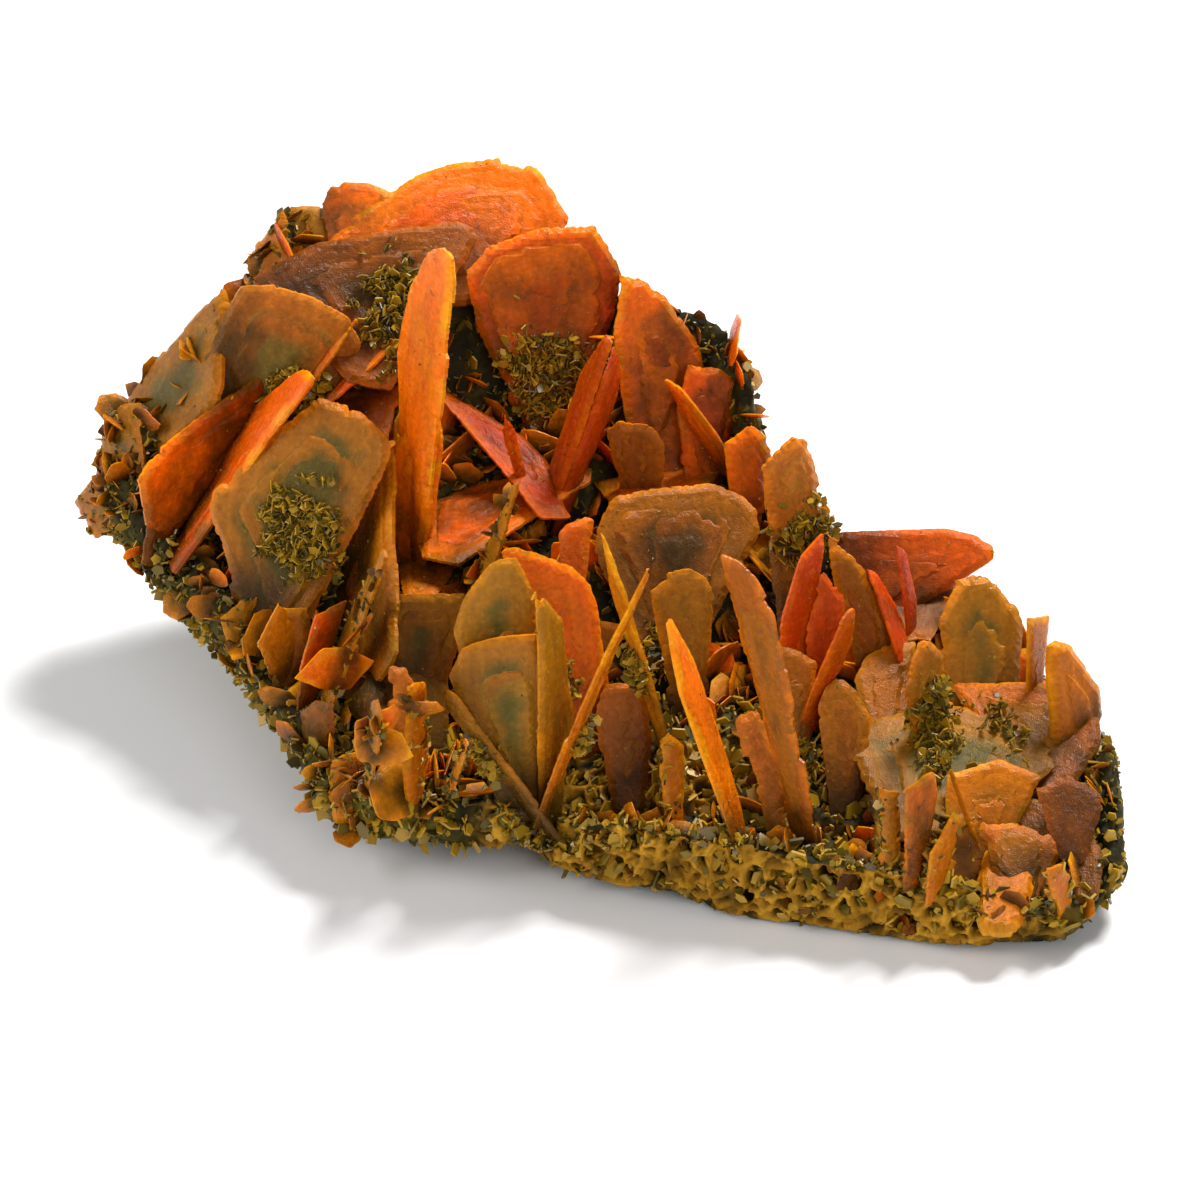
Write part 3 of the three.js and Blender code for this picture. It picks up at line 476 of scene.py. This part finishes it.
# How far round the crust's outline a place is, in degrees, and so whether it is on the broken wall.
def wall_share(points, normals):
    angle = np.degrees(np.arctan2(points[:, 1] - CRUST_CENTRE[1], points[:, 0] - CRUST_CENTRE[0]))
    begun = smooth(WALL_FROM - WALL_FADE, WALL_FROM + WALL_FADE, angle)
    ended = smooth(WALL_TO - 1.5 * WALL_FADE, WALL_TO + WALL_FADE, angle)
    outward = smooth(0.25, 0.6, np.linalg.norm(normals[:, :2], axis=1))
    front = smooth(0.1, 0.4, -normals[:, 1])
    return begun * (1 - ended) * outward * front


# How far each point is from the walls between cells of this size: 0 on a wall.
def cell_gaps(points, size):
    gaps = np.empty(len(points))
    for i, p in enumerate(points / size):
        distances = noise.voronoi(p)[0]
        gaps[i] = distances[1] - distances[0]
    return gaps


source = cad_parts["crust"]
crust = bpy.data.objects.new("crust_rock", source.data.copy())
bpy.context.scene.collection.objects.link(crust)
remesh = crust.modifiers.new("voxels", "REMESH")
remesh.mode = "VOXEL"
remesh.voxel_size = CRUST_VOXEL * MM
depsgraph = bpy.context.evaluated_depsgraph_get()
crust.data = bpy.data.meshes.new_from_object(crust.evaluated_get(depsgraph))
crust.modifiers.clear()
crust.data.materials.clear()

points, normals = mesh_arrays(crust.data)
small_tablets = tablets_of(source)
for n, level, thickness, members in small_tablets:
    middle = members.mean(axis=0)
    off = points @ n - level
    reach = np.linalg.norm(members - middle, axis=1).max()
    inside = (np.abs(off) < thickness / 2 + PLATE_DEEP) & (np.linalg.norm(points - middle, axis=1) < reach)
    side, up = plane_axes(n)
    for along in (side, up):
        spread = members @ along
        inside &= points @ along > spread.min() - PLATE_MARGIN
        inside &= points @ along < spread.max() + PLATE_MARGIN
    points[inside] -= SUNK * off[inside, None] * n
    points[inside] -= SUNK_RIM * (points[inside] - middle)
crust.data.vertices.foreach_set("co", (points * MM).ravel())

shape = bmesh.new()
shape.from_mesh(crust.data)
shape.normal_update()
points = np.array([v.co for v in shape.verts]) / MM
normals = np.array([v.normal for v in shape.verts])
on_wall = wall_share(points, normals) > 0.3
edges = [e for e in shape.edges if on_wall[e.verts[0].index] and on_wall[e.verts[1].index]]
bmesh.ops.subdivide_edges(shape, edges=edges, cuts=1, use_grid_fill=True)
shape.to_mesh(crust.data)
shape.free()

points, normals = mesh_arrays(crust.data)
wall = wall_share(points, normals)
coarse = cell_gaps(points, CELL)
fine = cell_gaps(points, PORE)
lumps = np.array([noise.noise(p) for p in points / LUMP])
pits = CELL_DEPTH * smooth(*CELL_EDGE, coarse) * wall + PORE_DEPTH * smooth(*PORE_EDGE, fine)
above_floor = smooth(0.0, FLAT_FOOT, points[:, 2])
moved = points + normals * (LUMP_HEIGHT * lumps - pits)[:, None] * above_floor[:, None]
moved = np.clip(moved, BOX_LOW, BOX_HIGH)
crust.data.vertices.foreach_set("co", (moved * MM).ravel())
# Painted shade: the crust's faces that look up, away from the broken wall, are dimmed in its material, as
# shade falls between the large crystals.
painted_top_shade = smooth(0.0, 0.6, normals[:, 2]) * (1 - wall)
for key, values in (("pit", pits), ("wall", wall), ("painted_top_shade", painted_top_shade)):
    layer = crust.data.attributes.new(key, "FLOAT", "POINT")
    layer.data.foreach_set("value", values.astype(np.float32))
for polygon in crust.data.polygons:
    polygon.use_smooth = True
crust.data.update()
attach(crust, "root")
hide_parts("crust")

# Porous, iron-stained gangue, broken and weathered: golden-brown on the broken wall, olive-black elsewhere,
# and dull.
# Its pits get painted shade, which makes the cells read as deep, and its faces that look up, away from the
# wall, are dimmed with painted shade, as between the large crystals. These scales are per metre.
BLOTCH = 260.0  # a blotch is about 4 mm across
SPECK = 1500.0  # a speck is about 0.7 mm across
COAT_COLOURS = ("#1c1a0a", "#443c12", "#75671e")
WALL_COLOURS = ("#42300a", "#986a10", "#c8962a")
material, tree = new_material("crust_rock")
where = add(tree, "ShaderNodeTexCoord")
pit = add(tree, "ShaderNodeAttribute", attribute_name="pit")
broken = add(tree, "ShaderNodeAttribute", attribute_name="wall")
blotch = add(tree, "ShaderNodeTexNoise", {"Vector": where.outputs["Object"], "Scale": BLOTCH, "Detail": 6.0})
speck = add(tree, "ShaderNodeTexNoise", {"Vector": where.outputs["Object"], "Scale": SPECK, "Detail": 4.0})
weathered = add(tree, "ShaderNodeValToRGB", {"Fac": blotch.outputs["Fac"]})
gold = add(tree, "ShaderNodeValToRGB", {"Fac": blotch.outputs["Fac"]})
for ramp, codes in ((weathered, COAT_COLOURS), (gold, WALL_COLOURS)):
    ramp.color_ramp.elements[0].position = 0.3
    ramp.color_ramp.elements[1].position = 0.72
    middle = ramp.color_ramp.elements.new(0.5)
    for element, code in zip(sorted(ramp.color_ramp.elements, key=lambda e: e.position), codes):
        element.color = linear(code)
base = add(
    tree,
    "ShaderNodeMix",
    {"Factor": broken.outputs["Fac"], 6: weathered.outputs["Color"], 7: gold.outputs["Color"]},
    data_type="RGBA",
)
# Painted shade: the deeper a pit, the darker its colour; outside the pits the colour is a little lighter.
pit_shade = add(
    tree, "ShaderNodeMapRange", {"Value": pit.outputs["Fac"], "From Max": 1.7, "To Min": 1.2, "To Max": 0.15}
)
# Painted shade: faces that look up are dimmed to 0.3 of their colour.
under = add(tree, "ShaderNodeAttribute", attribute_name="painted_top_shade")
top_shade_dim = add(tree, "ShaderNodeMapRange", {"Value": under.outputs["Fac"], "To Min": 1.0, "To Max": 0.3})
level = add(tree, "ShaderNodeMath", {0: pit_shade.outputs[0], 1: top_shade_dim.outputs[0]}, operation="MULTIPLY")
shaded = add(tree, "ShaderNodeHueSaturation", {"Color": base.outputs[2], "Value": level.outputs[0]})
bump = add(tree, "ShaderNodeBump", {"Height": speck.outputs["Fac"], "Strength": 0.7, "Distance": 0.0003})
dull = add(tree, "ShaderNodeMapRange", {"Value": speck.outputs["Fac"], "To Min": 0.6, "To Max": 0.95})
finish_material(
    tree,
    {
        "Base Color": shaded.outputs[0],
        "Roughness": dull.outputs[0],
        "Normal": bump.outputs[0],
        "IOR": 1.54,
        "Specular IOR Level": 0.15,
    },
)
crust.data.materials.append(material)


# Small and middle-sized tablets between the large ones: the same wulfenite, grown on the crust in every
# direction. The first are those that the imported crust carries; the rest fill its upper side.
FILL_COUNT = 2900  # places tried; where a large crystal, the box or the wall is too near, none is made
FILL_LEAST, FILL_MOST = 1.8, 8.5  # across
FILL_POWER = 1.7  # above 1, small ones are the more common
FILL_CLEAR = 0.22  # of its width, the least distance from its middle to a large crystal
FILL_REACH = 0.55  # of its width, the farthest that it reaches from its middle
FILL_RIM = (1.8, 0.12)  # the length of a lobe and the depth of a notch
FILL_COARSE = 0.11  # a wider one has its points farther apart
FILL_THIN, FILL_THICKER = 0.12, 0.05  # the thickness, and what each mm across adds
FILL_STAND = (0.12, 0.35)  # of its width, how far its middle stands off the crust
FILL_NEAR = 0.3  # the least distance to a large crystal, besides FILL_CLEAR
WALL_CLEAR = 2.4  # a tablet wider than this keeps clear of the broken wall
EDGE_RIM = (1.6, 0.25)  # the same as FILL_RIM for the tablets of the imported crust
EDGE_FOOT = 5.5  # the least foot attribute of those, so that they get little painted shade at the foot
SMALL_FOOT = 4.0  # how much shorter the painted shade at the foot of a small tablet is
FILL_SHARES = {"orange": 0.2, "amber": 0.32, "olive": 0.28, "brown": 0.2}
FLANK_SHARES = (0.04, 0.4, 0.46, 0.1)  # the same on the left and back flanks
FLANK_LEFT = -36  # farther left than this is the left flank
FLANK_LEAST, FLANK_SIZE = 1.4, 0.45  # tablets of the flanks are smaller


# Random places on a mesh, and their normals. keep weighs each triangle from its middle and its normal.
def surface_places(mesh, count, rng, keep):
    mesh.calc_loop_triangles()
    points, _ = mesh_arrays(mesh)
    corners = np.empty(len(mesh.loop_triangles) * 3, dtype=np.int32)
    mesh.loop_triangles.foreach_get("vertices", corners)
    a, b, c = (points[corners.reshape(-1, 3)[:, i]] for i in range(3))
    cross = np.cross(b - a, c - a)
    area = np.linalg.norm(cross, axis=1)
    normal = cross / np.maximum(area[:, None], 1e-9)
    weight = area * keep((a + b + c) / 3, normal)
    chosen = rng.choice(len(area), count, p=weight / weight.sum())
    u, v = rng.uniform(0, 1, (2, count, 1))
    flip = u + v > 1
    u, v = np.where(flip, 1 - u, u), np.where(flip, 1 - v, v)
    places = a[chosen] + u * (b - a)[chosen] + v * (c - a)[chosen]
    return places, normal[chosen]


# The same directions, one long.
def unit(vectors):
    return vectors / np.maximum(np.linalg.norm(vectors, axis=-1, keepdims=True), 1e-9)


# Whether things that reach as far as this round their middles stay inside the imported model's box.
def in_box(middles, reach):
    reach = np.asarray(reach)[..., None]
    return ((middles - reach > BOX_LOW) & (middles + reach < BOX_HIGH)).all(axis=-1)


# Weighs the crust's places for the small tablets: its upper side, and not the broken wall.
def upper_side(places, normals):
    wall = wall_share(places, normals)
    return smooth(-0.1, 0.4, normals[:, 2]) * (1 - smooth(0.0, 0.2, wall))


# Whether a tablet of this size would hang over the broken wall.
def over_wall(middle, across):
    out = np.append(unit(middle[:2] - CRUST_CENTRE), -0.5)
    place, normal, _, _ = crust_tree.find_nearest((middle + 0.5 * across * out).tolist())
    return across > WALL_CLEAR and wall_share(np.array([place]), np.array([normal]))[0] > 0.2


rng = np.random.default_rng(11)
builds = {kind: new_build() for kind in FILL_SHARES}
for n, level, thickness, members in small_tablets:
    origin = members.mean(axis=0)
    origin = origin + n * (level - origin @ n)
    build = builds[rng.choice(["olive", "amber"])]
    outline = outline_of(members, origin, n, 0)
    add_tablet(build, origin, n, thickness, outline, rng, *EDGE_RIM, least=EDGE_FOOT)
large_points, large_faces = [], []
for crystal in crystals.values():
    large_faces += [[len(large_points) + i for i in p.vertices] for p in crystal.data.polygons]
    large_points += (mesh_arrays(crystal.data)[0]).tolist()
large_tree = BVHTree.FromPolygons(large_points, large_faces)

places, normals = surface_places(crust.data, FILL_COUNT, rng, upper_side)
flank = (places[:, 0] < FLANK_LEFT) | (normals[:, 1] > 0.3) | (normals[:, 2] < 0.6)
picks = rng.choice(list(FILL_SHARES), FILL_COUNT, p=list(FILL_SHARES.values()))
picks = np.where(flank, rng.choice(list(FILL_SHARES), FILL_COUNT, p=FLANK_SHARES), picks)
sizes = FILL_LEAST + (FILL_MOST - FILL_LEAST) * rng.uniform(0, 1, FILL_COUNT) ** FILL_POWER
sizes = np.where(flank, FLANK_LEAST + FLANK_SIZE * (sizes - FILL_LEAST), sizes)
for place, normal, kind, across in zip(places, normals, picks, sizes):
    lean = unit(np.cross(normal, rng.normal(size=3)) + 0.3 * rng.normal(size=3))
    middle = place + normal * 0.35 * across
    if large_tree.find_nearest(middle.tolist())[3] < FILL_CLEAR * across + FILL_NEAR:
        continue
    if not in_box(middle, FILL_REACH * across) or over_wall(middle, across):
        continue
    corners = rng.integers(5, 8)
    turns = (np.arange(corners) + rng.uniform(-0.25, 0.25, corners)) / corners * 2 * math.pi
    radii = across / 2 * rng.uniform(0.8, 1.15, corners)
    outline = np.stack([np.cos(turns) * radii, np.sin(turns) * radii * rng.uniform(0.6, 1)], axis=1)
    centre = place + normal * across * rng.uniform(*FILL_STAND)
    thickness = FILL_THIN + FILL_THICKER * across
    coarse = 1.0 + FILL_COARSE * across
    add_tablet(builds[kind], centre, lean, thickness, outline, rng, *FILL_RIM, coarse)
for kind, build in builds.items():
    piece = finish_build(build, "small_tablets_" + kind, SMALL_FOOT)
    piece.data.materials.append(WULFENITES[kind])
    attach(piece, "root")


# The coat of tiny crystals: thin five-sided plates under 3 mm across, the last to grow, fixed by an edge at
# all angles. They cover the crust and sit in bunches on the large crystals, olive to golden.
COAT_CORNERS = 5
COAT_COUNT = {"left": 6500, "front": 5600, "back": 4600}
COAT_PARTS = (-20, -6)  # left of the first is the left part, and behind the second the back part
COAT_LEAST, COAT_RANGE = 0.45, 1.25  # across: the least, and the most that is added
COAT_POWER = 2.2  # above 1, small ones are the more common
COAT_LEAN = 0.3  # how much the plates stray from standing square to the crust
COAT_THICK, COAT_THICKER = 0.07, 0.07  # the thickness, and what each mm across adds
LOW_EDGE = (7.0, 13.0)  # above the floor; lower down the coat is coarser, and brighter as it has no painted shade
LOW_WIDER = 0.55  # how much wider its plates are there, as a share
TOP_PAINTED_SHADE = 0.6  # painted shade: how much darker the coat is made on the upper side, between the large crystals


# The directions that tiny plates face when they stand on edge on a surface, give or take the spread.
def tiny_leans(normals, rng, spread):
    turned = np.cross(normals, rng.normal(size=normals.shape))
    return unit(unit(turned) + spread * rng.normal(size=normals.shape))


# The points and faces of many thin plates in one mesh.
def plates(centres, leans, across, thick, rng):
    count = len(centres)
    side = unit(np.cross(leans, rng.normal(size=(count, 3))))
    up = np.cross(leans, side)
    turns = np.arange(COAT_CORNERS) / COAT_CORNERS * 2 * math.pi
    stretch = rng.uniform(0.45, 1.0, (count, 1))
    radii = across[:, None] / 2 * rng.uniform(0.72, 1.1, (count, COAT_CORNERS))
    flat = (
        centres[:, None]
        + side[:, None] * (np.cos(turns) * radii)[..., None]
        + up[:, None] * (np.sin(turns) * radii * stretch)[..., None]
    )
    lift = leans[:, None] * (thick / 2)[:, None, None]
    points = np.concatenate([flat + lift, flat - lift], axis=1).reshape(-1, 3)
    faces = []
    ring = list(range(COAT_CORNERS))
    for i in range(count):
        base = i * 2 * COAT_CORNERS
        faces.append([base + k for k in ring])
        faces.append([base + COAT_CORNERS + k for k in reversed(ring)])
        for k in ring:
            after = (k + 1) % COAT_CORNERS
            faces.append([base + after, base + k, base + COAT_CORNERS + k, base + COAT_CORNERS + after])
    return points, faces


# Makes one piece of many tiny plates. Its attribute tone is one number for each plate, from dark to golden at
# random, times light, which darkens it with painted shade where light is below 1.
def coat_piece(name, centres, leans, across, thick, rng, light=1.0):
    light = np.broadcast_to(light, across.shape)
    kept = in_box(centres, 0.6 * across)
    centres, leans, across, thick, light = (part[kept] for part in (centres, leans, across, thick, light))
    points, faces = plates(centres, leans, across, thick, rng)
    mesh = bpy.data.meshes.new(name)
    mesh.from_pydata((points * MM).tolist(), [], faces)
    tone = np.repeat(rng.uniform(0, 1, len(centres)) * light, 2 * COAT_CORNERS)
    layer = mesh.attributes.new("tone", "FLOAT", "POINT")
    layer.data.foreach_set("value", tone.astype(np.float32))
    piece = bpy.data.objects.new(name, mesh)
    bpy.context.scene.collection.objects.link(piece)
    mesh.materials.append(coat_finish)
    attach(piece, "root")


# Weighs the crust's places for one part of the coat, with few on the broken wall and the underside.
def part_of_crust(part):
    def keep(places, normals):
        wall = wall_share(places, normals)
        away = smooth(-0.9, -0.2, normals[:, 2]) * (1 - 0.985 * smooth(0.02, 0.25, wall))
        left = places[:, 0] < COAT_PARTS[0]
        back = ~left & (places[:, 1] > COAT_PARTS[1])
        chosen = {"left": left, "back": back, "front": ~left & ~back}[part]
        return away * chosen

    return keep


# Wulfenite too small to show its own orange, dusted with the crust: satin, olive to golden, each a little
# different, which gives the coat its sparkle of light and dark. On the upper side its tone also carries
# painted shade.
DRIFT = 90.0  # per metre; the colour drifts over about 11 mm
coat_finish, tree = new_material("coat_crystals")
where = add(tree, "ShaderNodeTexCoord")
tone = add(tree, "ShaderNodeAttribute", attribute_name="tone")
drift = add(tree, "ShaderNodeTexNoise", {"Vector": where.outputs["Object"], "Scale": DRIFT, "Detail": 3.0})
mix = add(
    tree, "ShaderNodeMath", {0: drift.outputs["Fac"], 1: 0.7, 2: tone.outputs["Fac"]}, operation="MULTIPLY_ADD"
)
ramp = add(tree, "ShaderNodeValToRGB", {"Fac": mix.outputs[0]})
ramp.color_ramp.elements[0].position = 0.25
ramp.color_ramp.elements[0].color = linear("#2c280c")
ramp.color_ramp.elements[1].position = 1.0
ramp.color_ramp.elements[1].color = linear("#b0881a")
ramp.color_ramp.elements.new(0.6).color = linear("#6a5812")
finish_material(
    tree, {"Base Color": ramp.outputs["Color"], "Roughness": 0.36, "IOR": 1.6, "Specular IOR Level": 0.3}
)

for part, count in COAT_COUNT.items():
    rng = np.random.default_rng(name_seed(part))
    places, normals = surface_places(crust.data, count, rng, part_of_crust(part))
    leans = tiny_leans(normals, rng, COAT_LEAN)
    low = (1 - smooth(*LOW_EDGE, places[:, 2])) * (1 - wall_share(places, normals))
    across = COAT_LEAST + COAT_RANGE * rng.uniform(0, 1, count) ** COAT_POWER
    across *= 1 + LOW_WIDER * low
    centres = places + normals * across[:, None] * rng.uniform(0.05, 0.4, (count, 1))
    # Painted shade: on faces that look up, away from the low front, the coat's tone is darkened, as shade
    # falls between the large crystals.
    light = 1 - TOP_PAINTED_SHADE * smooth(0.1, 0.7, normals[:, 2]) * (1 - low)
    coat_piece("coat_" + part, centres, leans, across, COAT_THICK + COAT_THICKER * across, rng, light)

# Bunches of the same tiny crystals on the front faces of large ones. Each row: the middle of the bunch, as
# shares of the crystal's width and height from its lower left; its radius, in mm; how many tiny crystals.
BUNCHES = {
    "mossy_plate": (0.52, 0.5, 4.6, 1500),
    "brown_plate": (0.66, 0.45, 4.2, 1000),
    "crest_shield": (0.5, 0.3, 5.5, 1200),
    "rippled_plate": (0.6, 0.4, 3.6, 500),
    "octagon_plate": (0.35, 0.12, 3.0, 350),
    "curved_plate": (0.45, 0.55, 3.8, 700),
    "streaked_plate": (0.7, 0.4, 4.0, 800),
    "bent_plate": (0.25, 0.3, 3.0, 400),
    "fan_plate": (0.35, 0.1, 2.6, 200),
    "olive_grey_plate": (0.5, 0.2, 2.8, 300),
    "leaning_blade": (0.5, 0.5, 2.2, 200),
    "end_crystals": (0.3, 0.25, 2.6, 250),
    "back_fan": (0.4, 0.4, 2.6, 250),
    "diagonal_blade": (0.5, 0.35, 2.0, 150),
}
WANDER = 1.6  # across a swing of a bunch's outline
THIN, THICKER = 0.05, 0.05  # the thickness of these plates, and what each mm across adds

rng = np.random.default_rng(23)
centres, leans, sizes = [], [], []
for name, (right, up, radius, count) in BUNCHES.items():
    points, _ = mesh_arrays(crystals[name].data)
    low, high = points.min(axis=0), points.max(axis=0)
    middle = low + (high - low) * np.array([right, 0.5, up])

    def bunch(places, normals):
        wander = np.array([noise.noise(Vector(p) / WANDER) for p in places])
        away = np.linalg.norm((places - middle)[:, [0, 2]], axis=1) * (1 + 0.6 * wander)
        return smooth(radius * 1.05, radius * 0.45, away) * (normals[:, 2] * 0.6 - normals[:, 1] > 0.1)

    places, normals = surface_places(crystals[name].data, count, rng, bunch)
    across = 0.4 + 1.1 * rng.uniform(0, 1, count) ** 2
    centres.append(places + normals * rng.uniform(0, 0.9, (count, 1)) * across[:, None])
    leans.append(tiny_leans(normals, rng, 0.4))
    sizes.append(across)
sizes = np.concatenate(sizes)
coat_piece("coat_bunches", np.vstack(centres), np.vstack(leans), sizes, THIN + THICKER * sizes, rng)

# Crystal dust: single tiny crystals strewn over the large ones, most on the faces that look up.
DUST_COUNT = 1500
DUST_LEAST, DUST_RANGE = 0.2, 0.35  # across: the least, and the most that is added


def dusty(places, normals):
    return 0.1 + smooth(-0.3, 0.6, normals[:, 2])


centres, leans = [], []
areas = [sum(p.area for p in crystal.data.polygons) for crystal in crystals.values()]
for crystal, area in zip(crystals.values(), areas):
    count = 2 + int(DUST_COUNT * area / sum(areas))
    places, normals = surface_places(crystal.data, count, rng, dusty)
    centres.append(places)
    leans.append(tiny_leans(normals, rng, 0.6))
sizes = DUST_LEAST + DUST_RANGE * rng.uniform(0, 1, sum(len(c) for c in centres)) ** 3
coat_piece("coat_dust", np.vstack(centres), np.vstack(leans), sizes, THIN + THICKER * sizes, rng)


# The floor: a wide sheet of pale matt paper, a little below the specimen so that their faces never meet.
# From here on, lengths are in metres.
FLOOR_HALF = 3.0
FLOOR_LEVEL = -0.0002
corners = [(x * FLOOR_HALF, y * FLOOR_HALF, 0) for x, y in ((-1, -1), (1, -1), (1, 1), (-1, 1))]
mesh = bpy.data.meshes.new("floor")
mesh.from_pydata(corners, [], [(0, 1, 2, 3)])
floor = bpy.data.objects.new("floor", mesh)
floor.location.z = FLOOR_LEVEL
bpy.context.scene.collection.objects.link(floor)
material, tree = new_material("floor_paper")
finish_material(tree, {"Base Color": linear("#f4f4f4"), "Roughness": 0.6})
mesh.materials.append(material)

# Soft studio light: an even white surround, one large lamp above and behind, and two weaker ones in front.
SURROUND = 0.16
world = bpy.data.worlds.new("studio")
bpy.context.scene.world = world
world.use_nodes = True
world.node_tree.nodes["Background"].inputs["Color"].default_value = (1.0, 1.0, 1.0, 1.0)
world.node_tree.nodes["Background"].inputs["Strength"].default_value = SURROUND

# For each lamp: its place, its watts and its size.
LIGHTS = {
    "key": ((0.3, 0.4, 0.75), 12.5, 0.28),
    "left": ((-0.7, -0.1, 0.45), 4.2, 0.5),
    "front": ((0.25, -0.75, 0.5), 2.6, 0.5),
}
LIT = Vector((0, 0, 0.02))  # what the lamps point at
for name, (place, watts, size) in LIGHTS.items():
    lamp = bpy.data.lights.new(name, "AREA")
    lamp.energy = watts
    lamp.size = size
    light = bpy.data.objects.new(name, lamp)
    light.location = place
    light.rotation_euler = (LIT - Vector(place)).to_track_quat("-Z", "Y").to_euler()
    bpy.context.scene.collection.objects.link(light)

# Plain colour handling, so that the deep orange stays saturated, as in the photograph.
bpy.context.scene.view_settings.view_transform = "Standard"

# The camera, at the photograph's viewing angle.
VIEW_ELEVATION = math.radians(35)
VIEW_DISTANCE = 0.6
FIELD = 0.12  # across the picture at the aim point
AIM = Vector((0.00144, -0.00744, 0.022))
SENSOR = 36.0  # mm
camera_data = bpy.data.cameras.new("camera")
camera_data.sensor_width = SENSOR
camera_data.lens = SENSOR * VIEW_DISTANCE / FIELD
camera = bpy.data.objects.new("camera", camera_data)
away = Vector((0, math.cos(VIEW_ELEVATION), -math.sin(VIEW_ELEVATION)))
camera.location = AIM - away * VIEW_DISTANCE
camera.rotation_euler = away.to_track_quat("-Z", "Y").to_euler()
bpy.context.scene.collection.objects.link(camera)
bpy.context.scene.camera = camera
